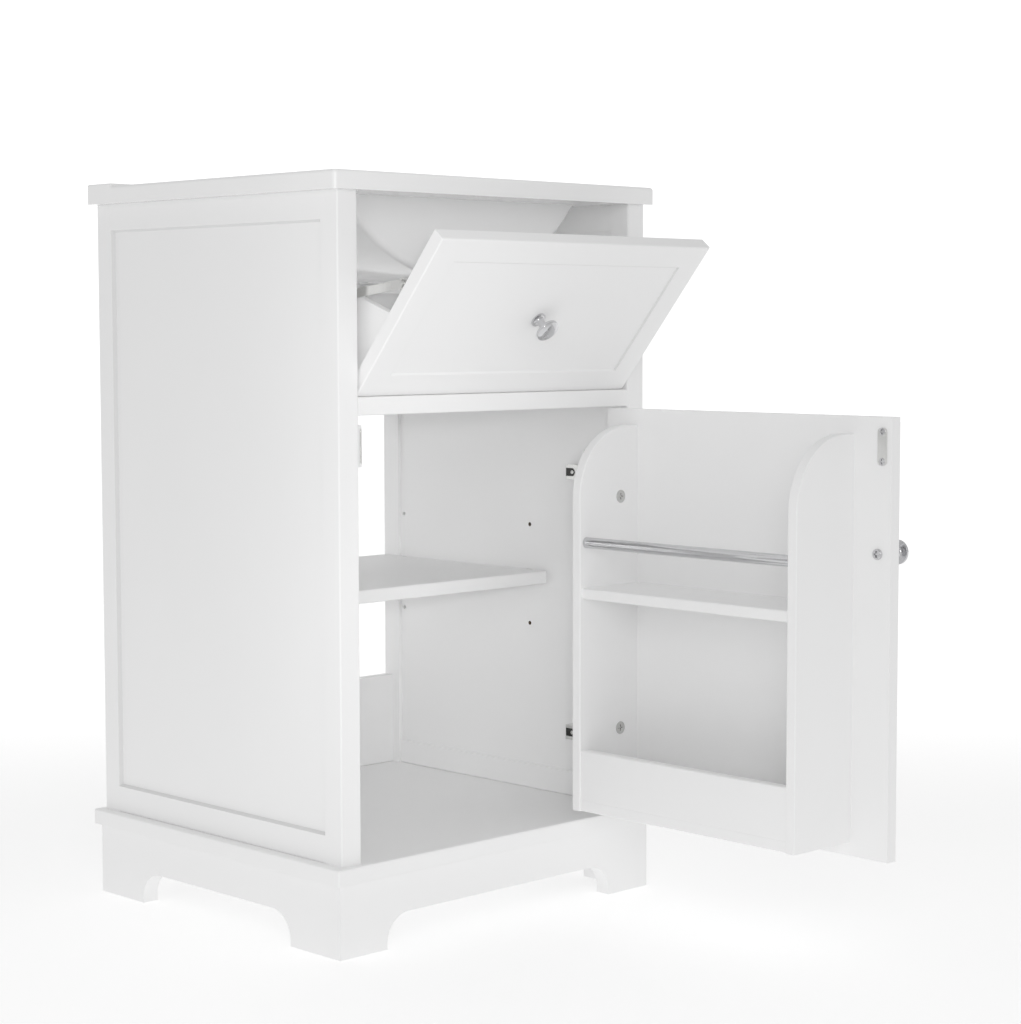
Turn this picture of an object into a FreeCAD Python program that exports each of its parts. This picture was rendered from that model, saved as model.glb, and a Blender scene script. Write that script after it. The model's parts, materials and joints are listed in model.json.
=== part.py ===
import FreeCAD, Part
import math
import os
from types import SimpleNamespace

import Sketcher

# Bathroom vanity unit: a painted cabinet on a bracket-foot plinth, under a ceramic sink top.
# A tilt-out flap with a tray hangs on two slotted stays, and a door with a storage rack hangs on
# two concealed hinges. Millimetres, +Z up, front towards -Y. The origin is on the floor, in the
# middle of the whole width and depth with the door open. Pieces are drawn from the body's front.

SIZES = {
    # Body
    "origin_setback": (21.8, "body's front to the origin"),
    "total_height": (850, "floor to the front edge of the sink top"),
    "body_width": (480, "outer faces of the posts"),
    "body_depth": (443, "front to rear faces of the posts"),
    "post_width": (28, "square corner post"),
    "edge_round": (2, "rounding of painted edges"),
    "rail_height": (31, "top and bottom rails of a side"),
    "rail_thick": (26, "side rail, through the wall"),
    "panel_thick": (18, "side panel"),
    "panel_recess": (5, "side panel behind the outer face of its frame"),
    "mid_rail_height": (20, "rail between flap and door"),
    "mid_rail_depth": (20, "rail between flap and door"),
    "back_thick": (16, "upper back panel and lower back rail"),
    "lower_back_height": (118, "lower back rail"),
    # Plinth
    "plinth_height": (83.5, "floor to the underside of the floor board"),
    "slab_thick": (18, "floor board"),
    "slab_overhang": (9, "floor board in front of the body"),
    "slab_rear_overhang": (8, "floor board behind the body"),
    "slab_side_overhang": (12, "floor board beside the body"),
    "slab_edge": (2, "rounding of the floor board"),
    "skirt_inset": (6.5, "skirt behind the floor board's edge"),
    "skirt_thick": (20, "skirt board"),
    "arch_height": (38, "cut-out between the feet"),
    "arch_radius": (32, "corner of the cut-out"),
    "front_foot": (68, "foot as seen from the front"),
    "side_foot": (85, "foot as seen from the side"),
    "rear_foot": (20, "foot as seen from the rear"),
    "block_width": (50, "glue block, across"),
    "block_depth": (20, "glue block, front to back"),
    "front_block": (67.5, "height of a front glue block"),
    "rear_block": (40, "height of a rear glue block"),
    # Sink top
    "top_overhang": (8, "slab in front of the body"),
    "top_rear_overhang": (7, "slab behind the body"),
    "top_side_overhang": (10, "slab beside the body"),
    "top_thick": (20.5, "slab of the sink top"),
    "top_corner": (5, "upright corners of the slab"),
    "top_edge": (4, "rounding of the slab's edges"),
    "rim_height": (3, "raised rear edge"),
    "rim_depth": (50, "raised rear edge"),
    "rim_round": (2, "rounding of the raised edge"),
    "bowl_half": (184, "bowl's outer half width under the slab"),
    "bowl_drop": (93.5, "bowl below the slab"),
    "bowl_front": (60, "body's front to the bowl's front wall"),
    "bowl_length": (270, "bowl, front to back"),
    "bowl_wall": (11, "ceramic wall of the bowl"),
    "bowl_round": (8, "outer rounding of the bowl's ends"),
    "bowl_hollow": (15, "inner rounding of the bowl's ends"),
    "bowl_lip": (5, "rounding where the slab turns into the bowl"),
    "tap_radius": (17.5, "tap hole"),
    "tap_setback": (80, "tap hole to the rear edge"),
    "waste_radius": (22.5, "waste hole"),
    # Shelf
    "shelf_thick": (16, "shelf"),
    "shelf_front": (135.5, "body's front to the shelf's front edge"),
    "shelf_play": (1.5, "shelf to post, each side"),
    "shelf_top": (380.5, "floor to the shelf's top"),
    "support_rise": (9.5, "support's peg above the shelf's underside"),
    "support_step": (62.5, "between rows of support holes"),
    "support_front": (171.5, "body's front to the front column of holes"),
    "support_rear": (34, "body's rear to the rear column of holes"),
    "peg_radius": (2.5, "support's peg"),
    "peg_depth": (9, "support's peg in the panel"),
    "peg_clearance": (0.08, "peg in its hole, on the radius"),
    "support_thick": (1.5, "support's plates"),
    "support_width": (10, "support's plates"),
    "support_reach": (16, "support's plate under the shelf"),
    # Flap
    "flap_gap": (2.5, "around the flap"),
    "flap_height": (215.5, "flap board"),
    "flap_thick": (16, "flap board"),
    "flap_angle": (40, "tilt of the open flap, degrees"),
    "pivot_back": (7, "flap's pivot behind its front face"),
    "pivot_up": (8, "flap's pivot above its bottom edge"),
    "pivot_radius": (3, "pivot pin"),
    "pivot_depth": (11, "pivot pin in the post"),
    "pivot_grip": (25, "pivot pin in the flap"),
    "pivot_clearance": (0.08, "pin in the post, on the radius"),
    "recess_depth": (2, "routed panel of flap and door"),
    "recess_bevel": (1.6, "bevel around the routed panel"),
    "flap_stile": (34, "flap's frame, upright"),
    "flap_rail": (31, "flap's frame, level"),
    "flap_knob_drop": (1, "flap's knob below the flap's middle"),
    "tray_inset": (10, "tray inside the flap's ends"),
    "tray_board": (9, "tray sides, bottom and back"),
    "tray_depth": (86, "tray behind the flap"),
    "tray_front_height": (92, "tray side at the flap, above the pivot"),
    "tray_rear_height": (60, "tray side at the rear, above the pivot"),
    "tray_floor": (4, "tray bottom above the pivot"),
    # Stays of the flap
    "stay_radius": (129, "flap's pivot to the stay's pin, and to its stud"),
    "stay_angle": (8, "stay's pin behind the closed flap's upright, degrees"),
    "stud_angle": (46, "stud behind the upright, degrees"),
    "stay_width": (10, "stay arm"),
    "stay_thick": (2, "stay arm"),
    "stay_tail": (9, "stay arm past its slot"),
    "stay_inset": (4, "stay arm inside the flap's end"),
    "stud_radius": (2.5, "stud and pin of a stay"),
    "stud_clearance": (0.4, "stud in the slot, on the radius"),
    "pin_clearance": (0.06, "pin in the stay arm, on the radius"),
    "stud_head": (4.5, "heads of stud and pin, radius"),
    "stud_head_thick": (1.4, "heads of stud and pin"),
    "stud_base": (9, "stud's foot on the wall, radius"),
    "stud_base_thick": (2.5, "stud's foot on the wall"),
    "stay_play": (0.4, "beside the stay arm"),
    "bracket_thick": (2, "bracket on the flap"),
    "bracket_width": (18, "bracket on the flap"),
    "bracket_height": (34, "bracket on the flap"),
    "ear_half": (7, "bracket's ear around its pin"),
    # Door
    "door_gap": (2, "around the door"),
    "door_thick": (16, "door board"),
    "door_angle": (89.5, "turn of the open door, degrees"),
    "door_stile": (35, "door's frame"),
    "hinge_inset": (8, "hinge axis from the door's edge"),
    "hinge_back": (4.6, "hinge axis behind the door's front face"),
    "hinge_drop": (80.5, "upper hinge below the door's top"),
    "hinge_rise": (80.5, "lower hinge above the door's bottom"),
    # Concealed hinges
    "cup_radius": (13, "hinge cup"),
    "cup_depth": (12.3, "hinge cup in the door"),
    "cup_edge": (3, "hinge cup from the door's edge"),
    "cup_wall": (0.8, "hinge cup"),
    "cup_clearance": (0.15, "cup in its bore"),
    "flange_width": (14, "cup's flange on the door"),
    "flange_height": (40, "cup's flange on the door"),
    "flange_thick": (1.2, "cup's flange on the door"),
    "link_side": (22, "arm's pivot beside the hinge axis"),
    "link_back": (17.4, "arm's pivot behind the hinge axis"),
    "link_crank": (4, "cup's pivot from the hinge axis"),
    "link_thick": (1.8, "link plate"),
    "link_height": (9, "link plate"),
    "link_eye": (2, "rolled ends of the link, radius"),
    "link_pin": (1, "hinge pins, radius"),
    "link_slot_in": (1.6, "slot at the cup's pivot, towards the arm"),
    "link_slot_out": (0.4, "slot at the cup's pivot, away from the arm"),
    "link_bend": (4.5, "crank of the link"),
    "link_elbow": (6, "crank of the link from the cup's pivot"),
    "link_clearance": (0.06, "arm's pin in the link, on the radius"),
    "slot_clearance": (0.35, "cup's pin in the link, on the radius"),
    "arm_height": (18, "hinge arm"),
    "arm_thick": (12, "hinge arm on its plate"),
    "arm_front": (58, "body's front to the arm's bend"),
    "arm_rear": (95, "body's front to the arm's rear end"),
    "arm_nose": (3.2, "arm's end around its pin"),
    "arm_throat": (14, "fork in the arm's end"),
    "fork_play": (0.6, "link in the arm's fork, each side"),
    "arm_slot": (5.2, "open slot in the arm for its fixing screw"),
    "arm_slot_depth": (2.5, "open slot in the arm"),
    "arm_slot_front": (84, "body's front to the round end of the arm's slot"),
    "plate_thick": (2, "hinge plate on the wall"),
    "plate_height": (56, "wings of a hinge plate, end to end"),
    "plate_front": (62, "body's front to the plate's strip"),
    "plate_width": (33, "strip of a hinge plate, along the wall"),
    "wing_width": (11, "wings of a hinge plate"),
    "wing_setback": (71.5, "body's front to the middle of the wings"),
    "plate_screw_pitch": (40, "screws of a hinge plate"),
    # Knobs and screws
    "knob_radius": (13.7, "knob's head"),
    "knob_length": (25, "knob off the board"),
    "knob_dome": (4.5, "crown of the knob's head"),
    "knob_rim": (3, "straight rim of the knob's head"),
    "knob_foot": (9, "knob's foot, radius"),
    "knob_foot_thick": (1.6, "knob's foot"),
    "knob_stem": (4.5, "knob's stem, radius"),
    "knob_neck": (4, "hollow curves of the stem, radius"),
    "screw_radius": (2, "knob screw"),
    "screw_clearance": (0.3, "knob screw in its hole"),
    "screw_grip": (8, "knob screw in the knob"),
    "pan_radius": (6, "head of a knob screw"),
    "pan_thick": (3, "head of a knob screw"),
    "small_head": (3.4, "head of a fitting screw, radius"),
    "small_head_thick": (1.6, "head of a fitting screw"),
    "small_shank": (1.7, "fitting screw, radius"),
    "door_knob_edge": (17, "knob from the door's free edge"),
    "door_knob_drop": (148, "knob below the door's top"),
    # Catch
    "strike_width": (12, "strike plate"),
    "strike_height": (40, "strike plate"),
    "strike_thick": (1.5, "strike plate"),
    "strike_edge": (12, "strike plate's middle from the free edge"),
    "strike_drop": (32, "strike plate's middle below the door's top"),
    "strike_pitch": (32, "screws of the strike plate"),
    "catch_width": (21, "catch housing"),
    "catch_depth": (20, "catch housing"),
    "catch_height": (46, "catch housing"),
    "pole_thick": (2, "catch's pole plates"),
    "pole_nose": (1, "pole plates in front of the housing"),
    "pole_spacing": (9, "between the pole plates' middles"),
    "catch_gap": (0.3, "pole plates to the strike plate"),
    # Rack on the door
    "rack_board": (12.7, "rack boards"),
    "rack_depth": (97, "rack off the door"),
    "rack_hinge_edge": (36.5, "rack from the door's hinge edge"),
    "rack_free_edge": (50, "rack from the door's free edge"),
    "rack_rise": (16, "rack's bottom above the door's bottom"),
    "rack_drop": (19, "rack's top below the door's top"),
    "rack_arc": (80, "rounded top of the rack's ends"),
    "rack_round": (1.5, "rounding of the rack's edges"),
    "rack_shelf_rise": (261.8, "rack shelf's top above the rack's bottom"),
    "rack_shelf_setback": (4, "rack shelf behind the ends"),
    "lip_height": (59, "lip of the rack's lower bay"),
    "lip_setback": (1.5, "lip behind the ends"),
    "bar_radius": (6.5, "bar of the rack's upper bay"),
    "bar_depth": (86, "bar off the door"),
    "bar_rise": (52.7, "bar above the rack shelf's top"),
    "bar_socket": (5, "bar in the rack's ends"),
    "bar_clearance": (0.1, "bar in its sockets, on the radius"),
    "cam_radius": (7.5, "cam lock"),
    "cam_thick": (8, "cam lock"),
    "cam_depth": (28.5, "cam lock off the door"),
    "cam_rise": (90.5, "lower cam locks above the rack's bottom"),
    "cam_drop": (83, "upper cam locks below the rack's top"),
    "cam_clearance": (0.15, "cam lock in its hole, on the radius"),
    "cam_slot": (1.6, "cross slot of a cam lock"),
}

# Edges this close to a plane lie in it
TOLERANCE = 1e-3

doc = FreeCAD.newDocument("vanity_unit")
nodes = []


class Dim:
    """A size: its value, and the sheet expression that gives it."""

    def __init__(self, value, text):
        self.value = value
        self.text = text

    def __add__(self, other):
        return combine(self, "+", other, self.value + number(other))

    def __radd__(self, other):
        return combine(other, "+", self, number(other) + self.value)

    def __sub__(self, other):
        return combine(self, "-", other, self.value - number(other))

    def __rsub__(self, other):
        return combine(other, "-", self, number(other) - self.value)

    def __mul__(self, other):
        return combine(self, "*", other, self.value * number(other))

    def __rmul__(self, other):
        return combine(other, "*", self, number(other) * self.value)

    def __truediv__(self, other):
        return combine(self, "/", other, self.value / number(other))

    def __neg__(self):
        return combine(0, "-", self, -self.value)


def number(item):
    return item.value if isinstance(item, Dim) else item


def text(item):
    return item.text if isinstance(item, Dim) else repr(item)


def combine(left, sign, right, value):
    return Dim(value, f"({text(left)} {sign} {text(right)})")


def sine(angle):
    return Dim(math.sin(math.radians(angle.value)), f"sin({angle.text})")


def cosine(angle):
    return Dim(math.cos(math.radians(angle.value)), f"cos({angle.text})")


def bearing(x, y):
    """Angle in degrees of the direction (x, y)."""
    return Dim(math.degrees(math.atan2(y.value, x.value)), f"(atan2({y.text}; {x.text}) / 1 deg)")


def distance(x, y):
    return Dim(math.hypot(x.value, y.value), f"hypot({x.text}; {y.text})")


def make_sheet():
    """Write the driving sizes to the sheet and return them by name."""
    sheet = doc.addObject("Spreadsheet::Sheet", "sizes")
    found = {}
    for row, (name, (value, note)) in enumerate(SIZES.items(), start=1):
        sheet.set(f"A{row}", note)
        sheet.set(f"B{row}", str(value))
        sheet.setAlias(f"B{row}", name)
        found[name] = Dim(value, f"sizes.{name}")
    doc.recompute()
    return SimpleNamespace(**found)


size = make_sheet()

# Places that several pieces share
half_width = size.body_width / 2
post_face = half_width - size.post_width
rail_face = half_width - size.rail_thick
panel_face = half_width - size.panel_recess - size.panel_thick
rear_face = size.body_depth
rear_post = size.body_depth - size.post_width
slab_top = size.plinth_height + size.slab_thick
top_under = size.total_height - size.top_thick
mid_rail_top = top_under - size.flap_height - 2 * size.flap_gap
mid_rail_under = mid_rail_top - size.mid_rail_height
top_front = -size.top_overhang
top_rear = size.body_depth + size.top_rear_overhang
slab_half = half_width + size.slab_side_overhang
slab_depth = size.slab_overhang + size.body_depth + size.slab_rear_overhang

flap_half = post_face - size.flap_gap
pivot_level = mid_rail_top + size.flap_gap + size.pivot_up
flap_front = -size.pivot_back
flap_back = size.flap_thick - size.pivot_back
flap_bottom = -size.pivot_up
flap_knob_level = flap_bottom + size.flap_height / 2 - size.flap_knob_drop

door_edge = post_face - size.door_gap
door_width = 2 * door_edge
door_bottom = slab_top + size.door_gap
door_top = mid_rail_under - size.door_gap
door_height = door_top - door_bottom
hinge_upper = door_top - size.hinge_drop
hinge_lower = door_bottom + size.hinge_rise
door_knob_level = door_top - size.door_knob_drop
strike_level = door_top - size.strike_drop
hinge_x = door_edge - size.hinge_inset
hinge_y = size.hinge_back
door_front = -size.hinge_back
door_back = size.door_thick - size.hinge_back

rack_bottom = door_bottom + size.rack_rise
rack_top = door_top - size.rack_drop
rack_shelf_top = rack_bottom + size.rack_shelf_rise
bar_level = rack_shelf_top + size.bar_rise
rack_hinge_face = size.hinge_inset - size.rack_hinge_edge
rack_free_face = size.hinge_inset - door_width + size.rack_free_edge
rack_inner_width = rack_hinge_face - rack_free_face - 2 * size.rack_board
rack_inner_free = rack_free_face + size.rack_board

ZERO = Dim(0, "0")
AXES = {"x": FreeCAD.Vector(1, 0, 0), "y": FreeCAD.Vector(0, 1, 0), "z": FreeCAD.Vector(0, 0, 1)}


def frame(base, axis, angle):
    """A moving piece's own frame: where it stands at rest and how far it is turned."""
    return SimpleNamespace(base=base, axis=AXES[axis], angle=angle)


CABINET = frame((ZERO, ZERO, ZERO), "z", ZERO)
DOOR = frame((hinge_x, hinge_y, ZERO), "z", size.door_angle)
FLAP = frame((ZERO, size.pivot_back, pivot_level), "x", size.flap_angle)


def stay_frame():
    """The stay's pin, the stud and the flap's pivot make an isosceles triangle."""
    reach = size.stay_angle - size.flap_angle
    base = (
        ZERO,
        size.pivot_back + size.stay_radius * sine(reach),
        pivot_level + size.stay_radius * cosine(reach),
    )
    return frame(base, "x", -(reach + size.stud_angle) / 2)


STAY = stay_frame()

# The cup's pivot is as far from the arm's pivot when the door is shut as when it is open
cup_bearing = bearing(-size.link_side, size.link_back) - size.door_angle / 2
cup_pin_x = size.link_crank * cosine(cup_bearing)
cup_pin_y = size.link_crank * sine(cup_bearing)
link_run_x = size.link_side + size.link_crank * cosine(cup_bearing + size.door_angle)
link_run_y = size.link_crank * sine(cup_bearing + size.door_angle) - size.link_back
link_length = distance(link_run_x, link_run_y)
arm_pin_x = hinge_x - size.link_side
arm_pin_y = hinge_y + size.link_back


def bind(item, path, value):
    item.setExpression(path, text(value))


def place(item, spot, path="Placement"):
    """Bind an object's position to three sizes."""
    for axis, value in zip("xyz", spot):
        bind(item, f"{path}.Base.{axis}", value)


def ride(item, own_frame):
    """Stand a finished piece in its frame."""
    turn = FreeCAD.Rotation(own_frame.axis, own_frame.angle.value)
    item.Placement = FreeCAD.Placement(FreeCAD.Vector(), turn)
    x, y, z = own_frame.base
    place(item, (x, y - size.origin_setback, z))
    bind(item, "Placement.Rotation.Angle", own_frame.angle)


def new_body(label, own_frame=CABINET):
    """A piece that is a node of its own."""
    body = doc.addObject("PartDesign::Body", label)
    body.Label = label
    ride(body, own_frame)
    nodes.append(body)
    return body


def group_body(label):
    """A piece of a group, drawn in the group's frame."""
    return doc.addObject("PartDesign::Body", label)


def block(body, corner, extent, cut=False):
    """Add or cut a box."""
    kind = "PartDesign::SubtractiveBox" if cut else "PartDesign::AdditiveBox"
    box = body.newObject(kind, "block")
    for name, value in zip(("Length", "Width", "Height"), extent):
        bind(box, name, value)
    place(box, corner)
    doc.recompute()
    return box


def rod(body, spot, axis, radius, length, cut=False):
    """Add or cut a cylinder that runs from spot along an axis."""
    kind = "PartDesign::SubtractiveCylinder" if cut else "PartDesign::AdditiveCylinder"
    item = body.newObject(kind, "rod")
    item.Placement = FreeCAD.Placement(FreeCAD.Vector(), FreeCAD.Rotation(AXES["z"], AXES[axis]))
    bind(item, "Radius", radius)
    bind(item, "Height", length)
    place(item, spot)
    doc.recompute()
    return item


def edges_where(feature, test):
    """Names of a feature's edges whose box passes a test."""
    return [f"Edge{i}" for i, edge in enumerate(feature.Shape.Edges, start=1) if test(edge.BoundBox)]


def soften(body, radius, test, kind="Fillet"):
    """Round or bevel the edges of the body's last feature that pass a test."""
    base = body.Tip
    names = edges_where(base, test)
    if not names:
        raise RuntimeError(f"{body.Label}: no edge to soften")
    item = body.newObject(f"PartDesign::{kind}", "soft")
    item.Base = (base, names)
    bind(item, "Radius" if kind == "Fillet" else "Size", radius)
    doc.recompute()
    return item


def runs(box, axis):
    """Whether an edge's box is a straight line along an axis."""
    spans = {"x": box.XLength, "y": box.YLength, "z": box.ZLength}
    return all((spans[a] > TOLERANCE) == (a == axis) for a in spans)


def near(value, target):
    return abs(value - number(target)) < TOLERANCE


def level_at(box, height):
    """Whether an edge's box lies level at a height."""
    return near(box.ZMin, height) and near(box.ZMax, height)


def flat_at(box, places):
    """Whether an edge's box lies in one plane across Y, at one of the places."""
    return any(near(box.YMin, y) and near(box.YMax, y) for y in places)


def board(label, corner, extent, own_frame=CABINET, rounded=None):
    """A flat board. rounded picks the edges that are rounded."""
    body = new_body(label, own_frame)
    block(body, corner, extent)
    if rounded:
        soften(body, size.edge_round, rounded)
    return body


def sketch_on(body, plane, spot=(0, 0, 0)):
    """A sketch on one of the body's own planes, moved by spot in that plane's axes."""
    sketch = body.newObject("Sketcher::SketchObject", "outline")
    role = next(o for o in body.Origin.OriginFeatures if o.Role == plane)
    sketch.AttachmentSupport = [(role, "")]
    sketch.MapMode = "FlatFace"
    place(sketch, spot, "AttachmentOffset")
    return sketch


def fix(sketch, kind, *items):
    """Add a constraint whose last item is a size."""
    *where, value = items
    index = sketch.addConstraint(Sketcher.Constraint(kind, *where, float(number(value))))
    bind(sketch, f"Constraints[{index}]", value)


def arc_to(radius, centre, left_turn):
    """The way from one corner of an outline to the next along a circle."""
    return SimpleNamespace(radius=radius, centre=centre, left_turn=left_turn)


def outline(sketch, corners):
    """Draw a closed outline. A corner is (x, y), or (x, y, arc) where an arc leads to the next one."""
    points = [FreeCAD.Vector(number(c[0]), number(c[1]), 0) for c in corners]
    ends = []
    for index, corner in enumerate(corners):
        start, stop = points[index], points[(index + 1) % len(points)]
        if len(corner) == 2:
            edge = sketch.addGeometry(Part.LineSegment(start, stop))
            ends.append((edge, 1, 2))
            continue
        bend = corner[2]
        centre = FreeCAD.Vector(number(bend.centre[0]), number(bend.centre[1]), 0)
        first, last = (start, stop) if bend.left_turn else (stop, start)
        angles = [math.atan2(p.y - centre.y, p.x - centre.x) for p in (first, last)]
        if angles[1] <= angles[0]:
            angles[1] += 2 * math.pi
        circle = Part.Circle(centre, AXES["z"], number(bend.radius))
        edge = sketch.addGeometry(Part.ArcOfCircle(circle, *angles))
        ends.append((edge, 1, 2) if bend.left_turn else (edge, 2, 1))
        fix(sketch, "Radius", edge, bend.radius)
    for index, corner in enumerate(corners):
        edge, start, _ = ends[index]
        before, _, stop = ends[index - 1]
        sketch.addConstraint(Sketcher.Constraint("Coincident", before, stop, edge, start))
        fix(sketch, "DistanceX", -1, 1, edge, start, corner[0])
        fix(sketch, "DistanceY", -1, 1, edge, start, corner[1])


def stadium(sketch, first, last, radius):
    """Draw a slot outline along the sketch's X axis, round ended about two centres."""
    a, b, r = number(first), number(last), number(radius)
    up = sketch.addGeometry(Part.LineSegment(FreeCAD.Vector(b, r, 0), FreeCAD.Vector(a, r, 0)))
    down = sketch.addGeometry(Part.LineSegment(FreeCAD.Vector(a, -r, 0), FreeCAD.Vector(b, -r, 0)))
    rear = Part.Circle(FreeCAD.Vector(a, 0, 0), AXES["z"], r)
    fore = Part.Circle(FreeCAD.Vector(b, 0, 0), AXES["z"], r)
    left = sketch.addGeometry(Part.ArcOfCircle(rear, math.pi / 2, 3 * math.pi / 2))
    right = sketch.addGeometry(Part.ArcOfCircle(fore, -math.pi / 2, math.pi / 2))
    joins = ((up, 2, left, 1), (down, 1, left, 2), (down, 2, right, 1), (up, 1, right, 2))
    for line, line_end, arc, arc_end in joins:
        sketch.addConstraint(Sketcher.Constraint("Tangent", line, line_end, arc, arc_end))
    sketch.addConstraint(Sketcher.Constraint("PointOnObject", left, 3, -1))
    sketch.addConstraint(Sketcher.Constraint("PointOnObject", right, 3, -1))
    fix(sketch, "DistanceX", -1, 1, left, 3, first)
    fix(sketch, "DistanceX", -1, 1, right, 3, last)
    fix(sketch, "Radius", left, radius)


def pad(body, sketch, length):
    item = body.newObject("PartDesign::Pad", "pad")
    item.Profile = sketch
    bind(item, "Length", length)
    doc.recompute()
    return item


def pocket(body, sketch, length, forwards=False):
    """Cut a sketch out of the body, against the sketch's normal or, forwards, along it."""
    before = body.Shape.Volume
    item = body.newObject("PartDesign::Pocket", "pocket")
    item.Profile = sketch
    item.Reversed = forwards
    bind(item, "Length", length)
    doc.recompute()
    if body.Shape.Volume >= before:
        raise RuntimeError(f"{body.Label}: a pocket cuts nothing")
    return item


def group(label, pieces, own_frame=CABINET):
    """One node of several like, separate solids."""
    item = doc.addObject("Part::Compound", label)
    item.Label = label
    item.Links = pieces
    ride(item, own_frame)
    doc.recompute()
    nodes.append(item)
    return item


def turned(label, corners, spot, own_frame=CABINET):
    """A turned piece whose axis is the frame's Y axis. Corners are (radius, place along Y)."""
    body = new_body(label, own_frame)
    sketch = sketch_on(body, "XY_Plane", spot)
    outline(sketch, corners)
    item = body.newObject("PartDesign::Revolution", "turning")
    item.Profile = sketch
    item.ReferenceAxis = (sketch, ["V_Axis"])
    item.Angle = 360
    doc.recompute()
    return body


def mirrored_sides():
    """Name and sign of the left and the right side."""
    return (("left", -1), ("right", 1))


def span(sign, inner, outer):
    """Lower X of a stretch between two distances from the middle, on one side."""
    return inner if sign > 0 else -outer


def make_posts():
    """Corner posts. The front ones carry the flap's pivot pins."""
    height = top_under - slab_top
    for side, sign in mirrored_sides():
        x = span(sign, post_face, half_width)
        outer = number(half_width) * sign
        body = board(
            f"post_front_{side}", (x, ZERO, slab_top), (size.post_width, size.post_width, height),
            rounded=lambda e: runs(e, "z") and near(e.YMin, 0),
        )
        hole = post_face if sign > 0 else -post_face - size.pivot_depth
        rod(body, (hole, size.pivot_back, pivot_level), "x", size.pivot_radius + size.pivot_clearance,
            size.pivot_depth, cut=True)
        board(
            f"post_rear_{side}", (x, rear_post, slab_top), (size.post_width, size.post_width, height),
            rounded=lambda e, at=outer: runs(e, "z") and near(e.YMin, rear_face) and near(e.XMin, at),
        )


def make_sides():
    """Frame-and-panel walls between the posts, with holes for shelf supports inside."""
    run = rear_post - size.post_width
    panel_height = top_under - slab_top - 2 * size.rail_height
    peg_level = size.shelf_top - size.shelf_thick + size.support_rise
    for side, sign in mirrored_sides():
        x = span(sign, rail_face, half_width)
        for name, level in (("top", top_under - size.rail_height), ("bottom", slab_top)):
            board(f"side_{name}_rail_{side}", (x, size.post_width, level),
                  (size.rail_thick, run, size.rail_height))
        panel_x = span(sign, panel_face, panel_face + size.panel_thick)
        body = board(
            f"side_panel_{side}", (panel_x, size.post_width, slab_top + size.rail_height),
            (size.panel_thick, run, panel_height),
        )
        hole = span(sign, panel_face, panel_face + size.peg_depth)
        for y in (size.support_front, rear_face - size.support_rear):
            for row in (-1, 0, 1):
                rod(body, (hole, y, peg_level + row * size.support_step), "x",
                    size.peg_radius + size.peg_clearance, size.peg_depth, cut=True)


def make_rails_and_back():
    width = 2 * post_face
    board(
        "mid_rail", (-post_face, ZERO, mid_rail_under), (width, size.mid_rail_depth, size.mid_rail_height),
        rounded=lambda e: runs(e, "x") and near(e.YMin, 0),
    )
    back_y = rear_face - size.back_thick
    board("upper_back_panel", (-post_face, back_y, mid_rail_under),
          (width, size.back_thick, top_under - mid_rail_under))
    board(
        "lower_back_rail", (-post_face, back_y, slab_top), (width, size.back_thick, size.lower_back_height),
        rounded=lambda e: runs(e, "x") and near(e.ZMin, slab_top + size.lower_back_height),
    )


def make_floor_board():
    body = new_body("floor_board")
    block(body, (-slab_half, -size.slab_overhang, size.plinth_height),
          (2 * slab_half, slab_depth, size.slab_thick))
    soften(body, size.slab_edge, lambda e: runs(e, "z"))
    soften(body, size.slab_edge, lambda e: near(e.ZMin, slab_top) and near(e.ZMax, slab_top))


def make_skirt(label, length, foot, spot, turn):
    """A mitred skirt board with an arched cut-out, built along X and turned into place."""
    body = new_body(label, frame(spot, "z", Dim(turn, repr(turn))))
    plan = sketch_on(body, "XY_Plane")
    half = length / 2
    inner = half - size.skirt_thick
    outline(plan, [(-half, ZERO), (half, ZERO), (inner, size.skirt_thick), (-inner, size.skirt_thick)])
    pad(body, plan, size.plinth_height)
    arch = sketch_on(body, "XZ_Plane")
    wide = half - foot
    spring = size.arch_height - size.arch_radius
    flat = wide - size.arch_radius
    outline(arch, [
        (-wide, ZERO),
        (wide, ZERO),
        (wide, spring, arc_to(size.arch_radius, (flat, spring), True)),
        (flat, size.arch_height),
        (-flat, size.arch_height, arc_to(size.arch_radius, (-flat, spring), True)),
        (-wide, spring),
    ])
    pocket(body, arch, size.skirt_thick)


def make_plinth():
    half = slab_half - size.skirt_inset
    front = size.skirt_inset - size.slab_overhang
    depth = slab_depth - 2 * size.skirt_inset
    middle = front + depth / 2
    make_skirt("skirt_front", 2 * half, size.front_foot, (ZERO, front, ZERO), 0)
    make_skirt("skirt_right", depth, size.side_foot, (half, middle, ZERO), 90)
    make_skirt("skirt_rear", 2 * half, size.rear_foot, (ZERO, front + depth, ZERO), 180)
    make_skirt("skirt_left", depth, size.side_foot, (-half, middle, ZERO), 270)
    inner_x = half - size.skirt_thick
    inner_front = front + size.skirt_thick
    inner_rear = front + depth - size.skirt_thick - size.block_depth
    blocks = []
    for x in (-inner_x, inner_x - size.block_width):
        for y, height in ((inner_front, size.front_block), (inner_rear, size.rear_block)):
            body = group_body("block")
            block(body, (x, y, size.plinth_height - height), (size.block_width, size.block_depth, height))
            blocks.append(body)
    group("plinth_blocks", blocks)


def rounded_plan(left, right, front, rear, front_corner, rear_corner):
    """Corners of a rectangle in plan, rounded at the front only if front_corner is given."""
    corners = []
    if front_corner:
        r = front_corner
        corners += [
            (left, front + r, arc_to(r, (left + r, front + r), True)), (left + r, front),
            (right - r, front, arc_to(r, (right - r, front + r), True)), (right, front + r),
        ]
    else:
        corners += [(left, front), (right, front)]
    r = rear_corner
    corners += [
        (right, rear - r, arc_to(r, (right - r, rear - r), True)), (right - r, rear),
        (left + r, rear, arc_to(r, (left + r, rear - r), True)), (left, rear - r),
    ]
    return corners


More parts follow.
